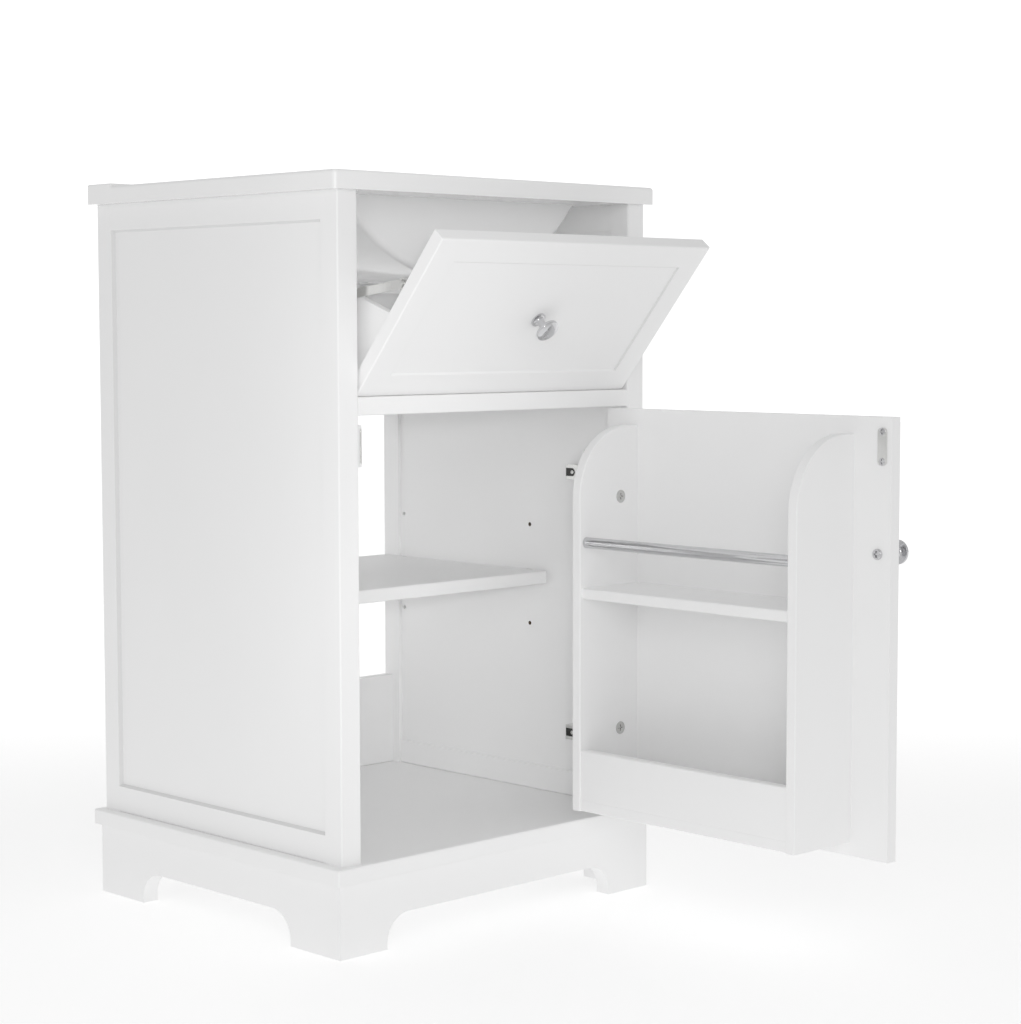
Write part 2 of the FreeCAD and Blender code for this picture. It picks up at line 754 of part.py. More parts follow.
def trough(radius, rise_from, crown):
    """Half an outline below a level: a chord and the arc that hangs from it."""
    depth = rise_from - crown
    half = Dim(
        math.sqrt(depth.value * (2 * radius.value - depth.value)),
        f"sqrt({depth.text} * (2 * {radius.text} - {depth.text}))",
    )
    return [(half, rise_from), (-half, rise_from, arc_to(radius, (ZERO, crown + radius), True))]


def make_sink_top():
    """Ceramic slab with a trough-shaped bowl: round from side to side, walled at front and back."""
    half = half_width + size.top_side_overhang
    body = new_body("sink_top")
    slab = sketch_on(body, "XY_Plane", (0, 0, top_under))
    outline(slab, rounded_plan(-half, half, top_front, top_rear, size.top_corner, size.top_corner))
    pad(body, slab, size.top_thick)
    rim = sketch_on(body, "XY_Plane", (0, 0, size.total_height))
    outline(rim, rounded_plan(-half, half, top_rear - size.rim_depth, top_rear, None, size.top_corner))
    pad(body, rim, size.rim_height)

    radius = (size.bowl_half * size.bowl_half + size.bowl_drop * size.bowl_drop) / (2 * size.bowl_drop)
    crown = top_under - size.bowl_drop
    bowl_rear = size.bowl_front + size.bowl_length
    outside = sketch_on(body, "XZ_Plane", (0, 0, -bowl_rear))
    outline(outside, trough(radius, top_under, crown))
    pad(body, outside, size.bowl_length)
    bowl_ends = (size.bowl_front, bowl_rear)
    soften(body, size.bowl_round, lambda e: near(e.ZMin, crown) and flat_at(e, bowl_ends))

    inside = sketch_on(body, "XZ_Plane", (0, 0, -(size.bowl_front + size.bowl_wall)))
    level = size.total_height + size.rim_height
    outline(inside, trough(radius - size.bowl_wall, level, crown + size.bowl_wall))
    pocket(body, inside, size.bowl_length - 2 * size.bowl_wall)
    inner_ends = (size.bowl_front + size.bowl_wall, bowl_rear - size.bowl_wall)
    floor = crown + size.bowl_wall
    soften(body, size.bowl_hollow, lambda e: near(e.ZMin, floor) and flat_at(e, inner_ends))
    return body


def drill_sink(body):
    """Tap and waste holes, then the rounded edges of the slab."""
    middle = size.bowl_front + size.bowl_length / 2
    crown = top_under - size.bowl_drop
    rod(body, (ZERO, middle, crown - size.bowl_wall), "z", size.waste_radius, 3 * size.bowl_wall, cut=True)
    rod(body, (ZERO, top_rear - size.tap_setback, top_under), "z", size.tap_radius,
        size.top_thick + size.rim_height, cut=True)
    front = number(size.bowl_front)
    rear = number(size.bowl_front + size.bowl_length)
    soften(body, size.bowl_lip,
           lambda e: level_at(e, size.total_height) and e.YMin > front and e.YMax < rear)
    soften(body, size.rim_round, lambda e: level_at(e, size.total_height + size.rim_height))
    soften(body, size.top_edge, lambda e: level_at(e, size.total_height) and near(e.YMin, top_front))


def make_shelf():
    half = post_face - size.shelf_play
    under = size.shelf_top - size.shelf_thick
    board(
        "shelf", (-half, size.shelf_front, under), (2 * half, rear_face - size.shelf_front, size.shelf_thick),
        rounded=lambda e: runs(e, "x") and near(e.YMin, size.shelf_front),
    )
    level = under + size.support_rise
    pieces = []
    for _, sign in mirrored_sides():
        for y in (size.support_front, rear_face - size.support_rear):
            body = group_body("support")
            left = y - size.support_width / 2
            inner = panel_face - size.support_thick
            block(body, (span(sign, inner, panel_face), left, under - size.support_thick),
                  (size.support_thick, size.support_width, size.support_rise + 3 * size.peg_radius))
            foot = panel_face - size.support_reach
            block(body, (span(sign, foot, panel_face), left, under - size.support_thick),
                  (size.support_reach, size.support_width, size.support_thick))
            rod(body, (span(sign, panel_face, panel_face + size.peg_depth), y, level), "x",
                size.peg_radius, size.peg_depth)
            pieces.append(body)
    group("shelf_supports", pieces)


def routed_board(label, left, width, front, thick, bottom, height, stile, rail, own_frame):
    """A painted board with a bevelled recess routed in its front face."""
    body = new_body(label, own_frame)
    block(body, (left, front, bottom), (width, thick, height))
    block(body, (left + stile, front, bottom + rail),
          (width - 2 * stile, size.recess_depth, height - 2 * rail), cut=True)
    inner_left, inner_right = left + stile, left + width - stile
    soften(body, size.recess_bevel,
           lambda e: flat_at(e, (front,)) and near(max(e.XMin, number(inner_left)), e.XMin)
           and near(min(e.XMax, number(inner_right)), e.XMax), kind="Chamfer")
    soften(body, size.edge_round,
           lambda e: flat_at(e, (front,)) and (near(e.XMin, left) or near(e.XMax, left + width)))
    return body


def make_knob(label, spot, own_frame):
    """Turned knob: foot, hollow-curved stem and domed head. It stands out along -Y."""
    dome = (size.knob_radius * size.knob_radius + size.knob_dome * size.knob_dome) / (2 * size.knob_dome)
    rim_top = size.knob_length - size.knob_dome
    rim_under = rim_top - size.knob_rim
    foot_hollow = size.knob_foot_thick + size.knob_neck
    head_hollow = rim_under - size.knob_neck
    wide = size.knob_stem + size.knob_neck
    screw = size.screw_radius + size.screw_clearance
    turned(label, [
        (screw, ZERO),
        (screw, -size.screw_grip),
        (ZERO, -size.screw_grip),
        (ZERO, -size.knob_length, arc_to(dome, (ZERO, dome - size.knob_length), True)),
        (size.knob_radius, -rim_top),
        (size.knob_radius, -rim_under),
        (wide, -rim_under, arc_to(size.knob_neck, (wide, -head_hollow), False)),
        (size.knob_stem, -head_hollow),
        (size.knob_stem, -foot_hollow, arc_to(size.knob_neck, (wide, -foot_hollow), False)),
        (wide, -size.knob_foot_thick),
        (size.knob_foot, -size.knob_foot_thick),
        (size.knob_foot, ZERO),
    ], spot, own_frame)


def make_knob_screw(label, spot, own_frame, board_thick):
    """Pan-head screw from the inside of the board into the knob. spot is on the inner face."""
    reach = board_thick + size.screw_grip - size.screw_clearance
    crown = (size.pan_radius * size.pan_radius + size.pan_thick * size.pan_thick) / (2 * size.pan_thick)
    turned(label, [
        (ZERO, -reach),
        (size.screw_radius, -reach),
        (size.screw_radius, ZERO),
        (size.pan_radius, ZERO, arc_to(crown, (ZERO, size.pan_thick - crown), True)),
        (ZERO, size.pan_thick),
    ], spot, own_frame)


def make_flap():
    width = 2 * flap_half
    body = routed_board(
        "flap_board", -flap_half, width, flap_front, size.flap_thick, flap_bottom, size.flap_height,
        size.flap_stile, size.flap_rail, FLAP,
    )
    field = flap_front + size.recess_depth
    hole = size.screw_radius + size.screw_clearance
    rod(body, (ZERO, field, flap_knob_level), "y", hole, size.flap_thick - size.recess_depth, cut=True)
    pins = []
    for _, sign in mirrored_sides():
        rod(body, (span(sign, flap_half - size.pivot_grip, flap_half), ZERO, ZERO), "x",
            size.pivot_radius + size.pivot_clearance, size.pivot_grip, cut=True)
        pin = group_body("pin")
        reach = size.flap_gap + size.pivot_depth - size.pivot_clearance
        start = span(sign, flap_half - size.pivot_grip, flap_half + reach)
        rod(pin, (start, ZERO, ZERO), "x", size.pivot_radius, size.pivot_grip + reach)
        pins.append(pin)
    group("flap_pivot_pins", pins, FLAP)
    make_knob("flap_knob", (ZERO, field, flap_knob_level), FLAP)
    make_knob_screw("flap_knob_screw", (ZERO, flap_back, flap_knob_level), FLAP,
                    size.flap_thick - size.recess_depth)


def make_tray():
    """Tray behind the flap: its sides slope down to the rear so that it passes under the bowl."""
    half = flap_half - size.tray_inset
    rear = flap_back + size.tray_depth
    for side, sign in mirrored_sides():
        body = new_body(f"tray_side_{side}", FLAP)
        shape = sketch_on(body, "YZ_Plane", (0, 0, span(sign, half - size.tray_board, half)))
        outline(shape, [
            (flap_back, size.tray_floor), (rear, size.tray_floor),
            (rear, size.tray_rear_height), (flap_back, size.tray_front_height),
        ])
        pad(body, shape, size.tray_board)
    inner = half - size.tray_board
    board("tray_bottom", (-inner, flap_back, size.tray_floor),
          (2 * inner, size.tray_depth - size.tray_board, size.tray_board), FLAP)
    board("tray_back", (-inner, rear - size.tray_board, size.tray_floor),
          (2 * inner, size.tray_board, size.tray_rear_height - size.tray_floor), FLAP)


def make_stays():
    """Slotted arms that hold the flap open, with their pins on the flap and studs on the walls."""
    outer = flap_half - size.stay_inset
    inner = outer - size.stay_thick
    shut = 2 * size.stay_radius * sine((size.stud_angle - size.stay_angle) / 2)
    wide = 2 * size.stay_radius * sine((size.stud_angle - size.stay_angle + size.flap_angle) / 2)
    pin_y = size.stay_radius * sine(size.stay_angle)
    pin_z = size.stay_radius * cosine(size.stay_angle)
    stud_y = size.pivot_back + size.stay_radius * sine(size.stud_angle)
    stud_z = pivot_level + size.stay_radius * cosine(size.stud_angle)
    ear = inner - size.stay_play
    ear_inner = ear - size.bracket_thick
    cap = outer + size.stay_play
    for side, sign in mirrored_sides():
        arm = new_body(f"stay_arm_{side}", STAY)
        plan = sketch_on(arm, "YZ_Plane", (0, 0, span(sign, inner, outer)))
        stadium(plan, ZERO, wide + size.stay_tail, size.stay_width / 2)
        pad(arm, plan, size.stay_thick)
        slot = sketch_on(arm, "YZ_Plane", (0, 0, span(sign, inner, outer)))
        stadium(slot, shut, wide, size.stud_radius + size.stud_clearance)
        pocket(arm, slot, size.stay_thick, forwards=True)
        rod(arm, (span(sign, inner, outer), ZERO, ZERO), "x", size.stud_radius + size.pin_clearance,
            size.stay_thick, cut=True)

        bracket = new_body(f"stay_bracket_{side}", FLAP)
        foot = pin_z - size.bracket_height / 2
        block(bracket, (span(sign, ear - size.bracket_width, ear), flap_back, foot),
              (size.bracket_width, size.bracket_thick, size.bracket_height))
        block(bracket, (span(sign, ear_inner, ear), flap_back, pin_z - size.ear_half),
              (size.bracket_thick, pin_y - flap_back, 2 * size.ear_half))
        rod(bracket, (span(sign, ear_inner, ear), pin_y, pin_z), "x", size.ear_half, size.bracket_thick)
        rod(bracket, (span(sign, ear, cap), pin_y, pin_z), "x", size.stud_radius, cap - ear)
        rod(bracket, (span(sign, cap, cap + size.stud_head_thick), pin_y, pin_z), "x", size.stud_head,
            size.stud_head_thick)

        stud = new_body(f"stay_stud_{side}")
        head = inner - size.stay_play
        rod(stud, (span(sign, panel_face - size.stud_base_thick, panel_face), stud_y, stud_z), "x",
            size.stud_base, size.stud_base_thick)
        rod(stud, (span(sign, head, panel_face), stud_y, stud_z), "x", size.stud_radius, panel_face - head)
        rod(stud, (span(sign, head - size.stud_head_thick, head), stud_y, stud_z), "x", size.stud_head,
            size.stud_head_thick)


def make_door():
    left = size.hinge_inset - door_width
    body = routed_board(
        "door_board", left, door_width, door_front, size.door_thick, door_bottom, door_height,
        size.door_stile, size.door_stile, DOOR,
    )
    knob_x = left + size.door_knob_edge
    rod(body, (knob_x, door_front, door_knob_level), "y", size.screw_radius + size.screw_clearance,
        size.door_thick, cut=True)
    cup_x = size.hinge_inset - size.cup_edge - size.cup_radius
    deep = size.cup_depth + size.cup_clearance
    for level in (hinge_upper, hinge_lower):
        rod(body, (cup_x, door_back - deep, level), "y", size.cup_radius + size.cup_clearance, deep, cut=True)
    make_knob("door_knob", (knob_x, door_front, door_knob_level), DOOR)
    make_knob_screw("door_knob_screw", (knob_x, door_back, door_knob_level), DOOR, size.door_thick)


def make_hinge_plate(name, level):
    """Cross-shaped plate on the wall: a strip under the arm and two round-cornered wings."""
    face = panel_face - size.plate_thick
    body = new_body(f"hinge_plate_{name}")
    wing_front = size.wing_setback - size.wing_width / 2
    block(body, (face, wing_front, level - size.plate_height / 2),
          (size.plate_thick, size.wing_width, size.plate_height))
    soften(body, size.wing_width / 2 - size.edge_round, lambda e: runs(e, "x"))
    block(body, (face, size.plate_front, level - size.arm_height / 2),
          (size.plate_thick, size.plate_width, size.arm_height))


def make_hinge(name, level):
    """One concealed hinge: plate and arm on the wall, cup in the door, link between them."""
    make_hinge_plate(name, level)
    plate_face = panel_face - size.plate_thick
    arm = new_body(f"hinge_arm_{name}")
    low = level - size.arm_height / 2
    plan = sketch_on(arm, "XY_Plane", (0, 0, low))
    inner = plate_face - size.arm_thick
    outline(plan, [
        (inner, size.arm_rear), (inner, size.arm_front),
        (arm_pin_x - size.arm_nose, arm_pin_y), (arm_pin_x, arm_pin_y - size.arm_nose),
        (arm_pin_x + size.arm_nose, arm_pin_y), (plate_face, size.arm_front), (plate_face, size.arm_rear),
    ])
    pad(arm, plan, size.arm_height)
    gap = size.link_height + 2 * size.fork_play
    block(arm, (arm_pin_x - size.arm_throat, arm_pin_y - size.arm_throat, level - gap / 2),
          (2 * size.arm_throat, 2 * size.arm_throat, gap), cut=True)
    rod(arm, (arm_pin_x, arm_pin_y, low), "z", size.link_pin, size.arm_height)
    block(arm, (inner, size.arm_slot_front, level - size.arm_slot / 2),
          (size.arm_slot_depth, size.arm_rear - size.arm_slot_front, size.arm_slot), cut=True)
    rod(arm, (inner, size.arm_slot_front, level), "x", size.arm_slot / 2, size.arm_slot_depth, cut=True)

    run = bearing(link_run_x, link_run_y)
    link = new_body(f"hinge_link_{name}", frame((arm_pin_x, arm_pin_y, level), "z", run))
    bottom = -size.link_height / 2
    slot_start = link_length - size.link_slot_in
    slot_end = link_length + size.link_slot_out
    elbow = link_length - size.link_elbow
    side = size.link_thick / 2
    bent = sketch_on(link, "XY_Plane", (0, 0, bottom))
    outline(bent, [
        (ZERO, -side), (elbow, -size.link_bend - side), (slot_start, -side),
        (slot_start, side), (elbow, side - size.link_bend), (ZERO, side),
    ])
    pad(link, bent, size.link_height)
    rod(link, (ZERO, ZERO, bottom), "z", size.link_eye, size.link_height)
    loop = sketch_on(link, "XY_Plane", (0, 0, bottom))
    stadium(loop, slot_start, slot_end, size.link_eye)
    pad(link, loop, size.link_height)
    rod(link, (ZERO, ZERO, bottom), "z", size.link_pin + size.link_clearance, size.link_height, cut=True)
    slot = sketch_on(link, "XY_Plane", (0, 0, bottom))
    stadium(slot, slot_start, slot_end, size.link_pin + size.slot_clearance)
    pocket(link, slot, size.link_height, forwards=True)

    cup = new_body(f"hinge_cup_{name}", DOOR)
    cup_x = size.hinge_inset - size.cup_edge - size.cup_radius
    bottom_y = door_back - size.cup_depth
    rod(cup, (cup_x, bottom_y, level), "y", size.cup_radius, size.cup_depth)
    block(cup, (cup_x - size.flange_width / 2, door_back, level - size.flange_height / 2),
          (size.flange_width, size.flange_thick, size.flange_height))
    rod(cup, (cup_x, bottom_y + size.cup_wall, level), "y", size.cup_radius - size.cup_wall,
        size.cup_depth + size.flange_thick, cut=True)
    across = cup_pin_x - cup_x
    reach = Dim(
        math.sqrt(size.cup_radius.value ** 2 - across.value ** 2),
        f"sqrt({size.cup_radius.text} ^ 2 - {across.text} ^ 2)",
    )
    rod(cup, (cup_pin_x, cup_pin_y, level - reach + size.cup_wall / 2), "z", size.link_pin,
        2 * reach - size.cup_wall)


def make_hinge_screws():
    """Plate screws. Each plate is bored for them."""
    screws = []
    face = panel_face - size.plate_thick
    y = size.wing_setback
    for name, level in (("upper", hinge_upper), ("lower", hinge_lower)):
        plate = doc.getObject(f"hinge_plate_{name}")
        for z in (level - size.plate_screw_pitch / 2, level + size.plate_screw_pitch / 2):
            rod(plate, (face, y, z), "x", size.small_shank + size.screw_clearance, size.plate_thick, cut=True)
            body = group_body("screw")
            rod(body, (face - size.small_head_thick, y, z), "x", size.small_head, size.small_head_thick)
            rod(body, (face, y, z), "x", size.small_shank, size.plate_thick)
            screws.append(body)
    group("hinge_screws", screws)


def make_strike():
    """Strike plate on the door's inner face, with its two flush screws."""
    x = size.hinge_inset - door_width + size.strike_edge
    body = new_body("strike_plate", DOOR)
    block(body, (x - size.strike_width / 2, door_back, strike_level - size.strike_height / 2),
          (size.strike_width, size.strike_thick, size.strike_height))
    soften(body, size.strike_width / 2 - size.edge_round, lambda e: runs(e, "y"))
    screws = []
    for z in (strike_level - size.strike_pitch / 2, strike_level + size.strike_pitch / 2):
        rod(body, (x, door_back, z), "y", size.small_head + size.screw_clearance, size.strike_thick, cut=True)
        screw = group_body("screw")
        rod(screw, (x, door_back, z), "y", size.small_head, size.strike_thick)
        screws.append(screw)
    group("strike_screws", screws, DOOR)


def make_catch():
    """Magnetic catch on the left front post, its pole plates just behind the shut door's strike."""
    pole_front = size.door_thick + size.strike_thick + size.catch_gap
    front = pole_front + size.pole_nose
    low = strike_level - size.catch_height / 2
    housing = new_body("catch_housing")
    block(housing, (-post_face, front, low), (size.catch_width, size.catch_depth, size.catch_height))
    soften(housing, size.edge_round, lambda e: near(e.XMin, size.catch_width - post_face))
    middle = size.strike_edge - door_edge
    poles = []
    for x in (middle - size.pole_spacing / 2, middle + size.pole_spacing / 2):
        pole_height = size.catch_height - 4 * size.pole_thick
        spot = (x - size.pole_thick / 2, pole_front, strike_level - pole_height / 2)
        block(housing, spot, (size.pole_thick, size.catch_depth / 2, pole_height), cut=True)
        pole = group_body("pole")
        block(pole, spot, (size.pole_thick, size.catch_depth / 2, pole_height))
        poles.append(pole)
    group("catch_poles", poles)


def make_rack():
    """Rack on the door: two rounded ends, shelf, bottom, lip, bar and cam locks."""
    front = door_back + size.rack_depth
    arc_y = front - size.rack_arc
    arc_z = rack_top - size.rack_arc
    ends = (
        ("rack_end_hinge_side", rack_hinge_face - size.rack_board, rack_hinge_face - size.rack_board, -1),
        ("rack_end_free_side", rack_free_face, rack_inner_free, 1),
    )
    cams = []
    for label, x, inner_face, outward in ends:
        body = new_body(label, DOOR)
        shape = sketch_on(body, "YZ_Plane", (0, 0, x))
        outline(shape, [
            (door_back, rack_bottom), (front, rack_bottom),
            (front, arc_z, arc_to(size.rack_arc, (arc_y, arc_z), True)),
            (arc_y, rack_top), (door_back, rack_top),
        ])
        pad(body, shape, size.rack_board)
        back = number(door_back)
        low = number(rack_bottom)
        soften(body, size.rack_round,
               lambda e: near(e.XLength, 0) and e.YMax > back + TOLERANCE and e.ZMax > low + TOLERANCE)
        socket = inner_face if outward < 0 else inner_face - size.bar_socket
        rod(body, (socket, door_back + size.bar_depth, bar_level), "x",
            size.bar_radius + size.bar_clearance, size.bar_socket, cut=True)
        for level in (rack_bottom + size.cam_rise, rack_top - size.cam_drop):
            start = inner_face if outward < 0 else inner_face - size.cam_thick
            spot = (start, door_back + size.cam_depth, level)
            rod(body, spot, "x", size.cam_radius + size.cam_clearance, size.cam_thick, cut=True)
            cams.append(make_cam(spot, outward))
    group("rack_cam_locks", cams, DOOR)

    inner = rack_inner_width
    lip_front = front - size.lip_setback
    board(
        "rack_bottom", (rack_inner_free, door_back, rack_bottom),
        (inner, size.rack_depth - size.lip_setback, size.rack_board), DOOR,
        rounded=lambda e: runs(e, "x") and near(e.YMin, lip_front) and near(e.ZMin, rack_bottom),
    )
    lip_y = lip_front - size.rack_board
    lip_top = rack_bottom + size.rack_board + size.lip_height
    board(
        "rack_lip", (rack_inner_free, lip_y, rack_bottom + size.rack_board),
        (inner, size.rack_board, size.lip_height), DOOR,
        rounded=lambda e: runs(e, "x") and near(e.ZMin, lip_top),
    )
    shelf_depth = size.rack_depth - size.rack_shelf_setback
    board(
        "rack_shelf", (rack_inner_free, door_back, rack_shelf_top - size.rack_board),
        (inner, shelf_depth, size.rack_board), DOOR,
        rounded=lambda e: runs(e, "x") and near(e.YMin, door_back + shelf_depth),
    )
    bar = new_body("rack_bar", DOOR)
    ease = size.bar_socket - size.bar_clearance
    rod(bar, (rack_inner_free - ease, door_back + size.bar_depth, bar_level), "x",
        size.bar_radius, inner + 2 * ease)


def make_cam(spot, outward):
    """A cam lock with a cross slot in the face that shows. outward is its way into the board."""
    body = group_body("cam")
    rod(body, spot, "x", size.cam_radius, size.cam_thick)
    x, y, z = spot
    face = x + size.cam_thick - size.cam_slot if outward > 0 else x
    long, short = size.cam_radius, size.cam_slot
    for wide, tall in ((long, short), (short, long)):
        block(body, (face, y - wide / 2, z - tall / 2), (size.cam_slot, wide, tall), cut=True)
    return body


def check():
    """Stop if any object failed or any node is empty or broken."""
    for item in doc.Objects:
        if {"Invalid", "Error"} & set(item.State):
            raise RuntimeError(f"{item.Name}: {item.State}")
    labels = [item.Label for item in nodes]
    if len(set(labels)) != len(labels):
        raise RuntimeError("two nodes share a label")
    for item in nodes:
        if item.Shape.isNull() or not item.Shape.isValid():
            raise RuntimeError(f"{item.Label}: bad shape")
        if item.isDerivedFrom("PartDesign::Body") and len(item.Shape.Solids) != 1:
            raise RuntimeError(f"{item.Label}: {len(item.Shape.Solids)} solids")


def export():
    os.makedirs("parts", exist_ok=True)
    for item in nodes:
        item.Shape.exportStep(f"parts/{item.Label}.step")


make_posts()
make_sides()
make_rails_and_back()
make_floor_board()
make_plinth()
drill_sink(make_sink_top())
make_shelf()
make_flap()
make_tray()
make_stays()
make_door()
make_hinge("upper", hinge_upper)
make_hinge("lower", hinge_lower)
make_hinge_screws()
make_strike()
make_catch()
make_rack()
doc.recompute()
check()
export()
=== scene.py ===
import json
import math

import bmesh
import bpy
from mathutils import Matrix, Vector


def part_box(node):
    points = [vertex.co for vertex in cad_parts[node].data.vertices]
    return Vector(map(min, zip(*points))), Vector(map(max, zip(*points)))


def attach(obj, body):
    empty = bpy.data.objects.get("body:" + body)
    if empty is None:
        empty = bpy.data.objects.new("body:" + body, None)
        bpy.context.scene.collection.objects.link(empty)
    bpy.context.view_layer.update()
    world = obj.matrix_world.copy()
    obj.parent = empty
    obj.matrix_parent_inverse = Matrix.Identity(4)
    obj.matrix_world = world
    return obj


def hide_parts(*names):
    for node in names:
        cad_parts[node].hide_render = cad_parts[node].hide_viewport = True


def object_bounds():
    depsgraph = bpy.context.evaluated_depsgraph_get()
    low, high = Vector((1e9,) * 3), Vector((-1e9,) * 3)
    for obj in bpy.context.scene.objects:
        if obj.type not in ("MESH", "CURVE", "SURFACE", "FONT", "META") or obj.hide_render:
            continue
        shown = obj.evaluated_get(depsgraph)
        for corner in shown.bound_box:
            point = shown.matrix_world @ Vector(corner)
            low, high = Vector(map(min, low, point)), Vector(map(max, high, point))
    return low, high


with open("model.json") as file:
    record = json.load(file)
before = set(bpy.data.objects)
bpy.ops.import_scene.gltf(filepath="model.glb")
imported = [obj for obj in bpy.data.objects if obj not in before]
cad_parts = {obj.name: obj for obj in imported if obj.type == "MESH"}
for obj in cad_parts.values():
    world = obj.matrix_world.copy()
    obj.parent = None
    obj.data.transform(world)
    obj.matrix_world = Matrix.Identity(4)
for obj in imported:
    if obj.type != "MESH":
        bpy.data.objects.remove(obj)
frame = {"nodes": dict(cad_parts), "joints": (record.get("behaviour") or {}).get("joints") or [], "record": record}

bl_info = {
    "name": "Vanity Unit",
    "version": (1, 0, 0),
    "blender": (4, 5, 0),
    "location": "View3D > Sidebar > Vanity",
    "description": "Paints, glazes and plates a bathroom vanity unit and sets it in a studio",
    "category": "Object",
}

# Lengths are metres in the part's own frame: floor at z 0, front towards -Y.
MM = 0.001
CAD_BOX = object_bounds()
RECORD = frame["record"]
BODY_OF = {node: body for body, members in RECORD["behaviour"]["bodies"].items() for node in members}
SLOT_OF = {item["node"]: item["material_slot"] for item in RECORD["subparts"]}
# Two faces that meet at more than this make an edge that wants softening, in this many steps
CREASE = math.radians(38)
EDGE_STEPS = 3
# Points closer than this are one point, triangles that lean by less make one flat face, and
# places that differ by less are level with each other
WELD = 0.001 * MM
FLAT = math.radians(0.1)
LEVEL = 0.01 * MM
# Boards whose joints with the next board show as thin dark lines, and the shortest such joint
QUIRKED = ("side_panel", "side_bottom_rail", "lower_back_rail")
QUIRK_RUN = 100 * MM
# A routed panel starts at least this far inside its board's outline. The normals of its slopes
# lie in this range along Y, with the door or flap shut, and those that face up pass the next value
PANEL_INSET = 12 * MM
# Slopes of a routed panel that don't face up get painted shade: the darker paint.
SLOPE_OUT = (-0.97, -0.2)
SLOPE_UP = 0.2
# Paint reaches this far into a hole drilled in a board, and nickel this far into a hinge arm's slot
PAINTED_RIM = 0.35 * MM
PLATED_RIM = 0.07 * MM
# Ways out of a surface that a screw goes into
LEFTWARDS = Vector((-1, 0, 0))
RIGHTWARDS = Vector((1, 0, 0))
BACKWARDS = Vector((0, 1, 0))
# Cross recess of a screw head, in shares of the head's radius and rise
CROSS_REACH = 0.6
CROSS_DEPTH = 0.6
CROSS_TAPER = 0.75
# Section of a screw head from its flat crown to its seat: radius and fall, in the same shares
HEAD_SECTION = ((0.8, 0), (0.93, 0.14), (1, 0.45), (1, 1))
HEAD_SIDES = 24
# The lamps for the insides aim this far right of the middle, at the wall that the camera sees.
# Every narrow lamp has the same radius.
LAMPS_ASIDE = 120 * MM
LAMP_RADIUS = 100 * MM
# Along the camera's heading, in metres from the unit's middle: where the floor's glow sets in,
# and where it turns into the far floor's
GLOW_STARTS = (-1.1, -0.45)
GLOW_TURNS = (0.4, 2.0)
# Cosine of the angle off the camera's heading, over which the room turns into the backdrop
BACKDROP_EDGE = (0.88, 0.96)
# Full-frame sensor of the camera, in millimetres
SENSOR_WIDTH = 36


def linear(code):
    """An sRGB hex colour as linear red, green and blue."""
    values = [int(code[i:i + 2], 16) / 255 for i in (1, 3, 5)]
    return tuple(v / 12.92 if v <= 0.04045 else ((v + 0.055) / 1.055) ** 2.4 for v in values)


def hinge_frame(joint_name):
    """Where a hinged body stands at rest. Its pieces are drawn shut, about the hinge."""
    joint = next(j for j in frame["joints"] if j["name"] == joint_name)
    opened = math.radians(-joint["range_deg"][0])
    return Matrix.Translation(joint["pos_m"]) @ Matrix.Rotation(opened, 4, Vector(joint["axis"]))


FRAMES = {
    "cabinet": Matrix.Identity(4),
    "door": hinge_frame("door_hinge"),
    "flap": hinge_frame("flap_hinge"),
}


class VanityFinish(bpy.types.PropertyGroup):
    """Colours and edges of the vanity unit."""

    paint: bpy.props.FloatVectorProperty(
        name="Paint", description="Sprayed paint of the boards", subtype="COLOR",
        default=linear("#F6F6F6"), min=0, max=1)
    glaze: bpy.props.FloatVectorProperty(
        name="Glaze", description="Glaze of the sink top", subtype="COLOR",
        default=linear("#FAFAFA"), min=0, max=1)
    plating: bpy.props.FloatVectorProperty(
        name="Plating", description="Chrome of knobs, bar and screws", subtype="COLOR",
        default=linear("#CACACC"), min=0, max=1)
    nickel: bpy.props.FloatVectorProperty(
        name="Nickel", description="Nickel of hinges and stays", subtype="COLOR",
        default=linear("#DEDEDC"), min=0, max=1)
    # Drilled holes show bare board, drawn far darker than chipboard as painted shade in the hole.
    chips: bpy.props.FloatVectorProperty(
        name="Chipboard", description="Darker chips of the bare board in drilled holes", subtype="COLOR",
        default=linear("#3B2E22"), min=0, max=1)
    board_edge: bpy.props.FloatProperty(
        name="Board edge", description="Sanded edge of a painted board",
        default=0.3 * MM, min=0, unit="LENGTH")
    quirk: bpy.props.FloatProperty(
        name="Quirk", description="Broken edge that shows as a thin dark line between boards",
        default=1.4 * MM, min=0, unit="LENGTH")
    ceramic_edge: bpy.props.FloatProperty(
        name="Ceramic edge", description="Rounding where the glaze runs over an edge",
        default=1.5 * MM, min=0, unit="LENGTH")
    metal_edge: bpy.props.FloatProperty(
        name="Metal edge", description="Broken edge of a pressed or turned fitting",
        default=0.25 * MM, min=0, unit="LENGTH")


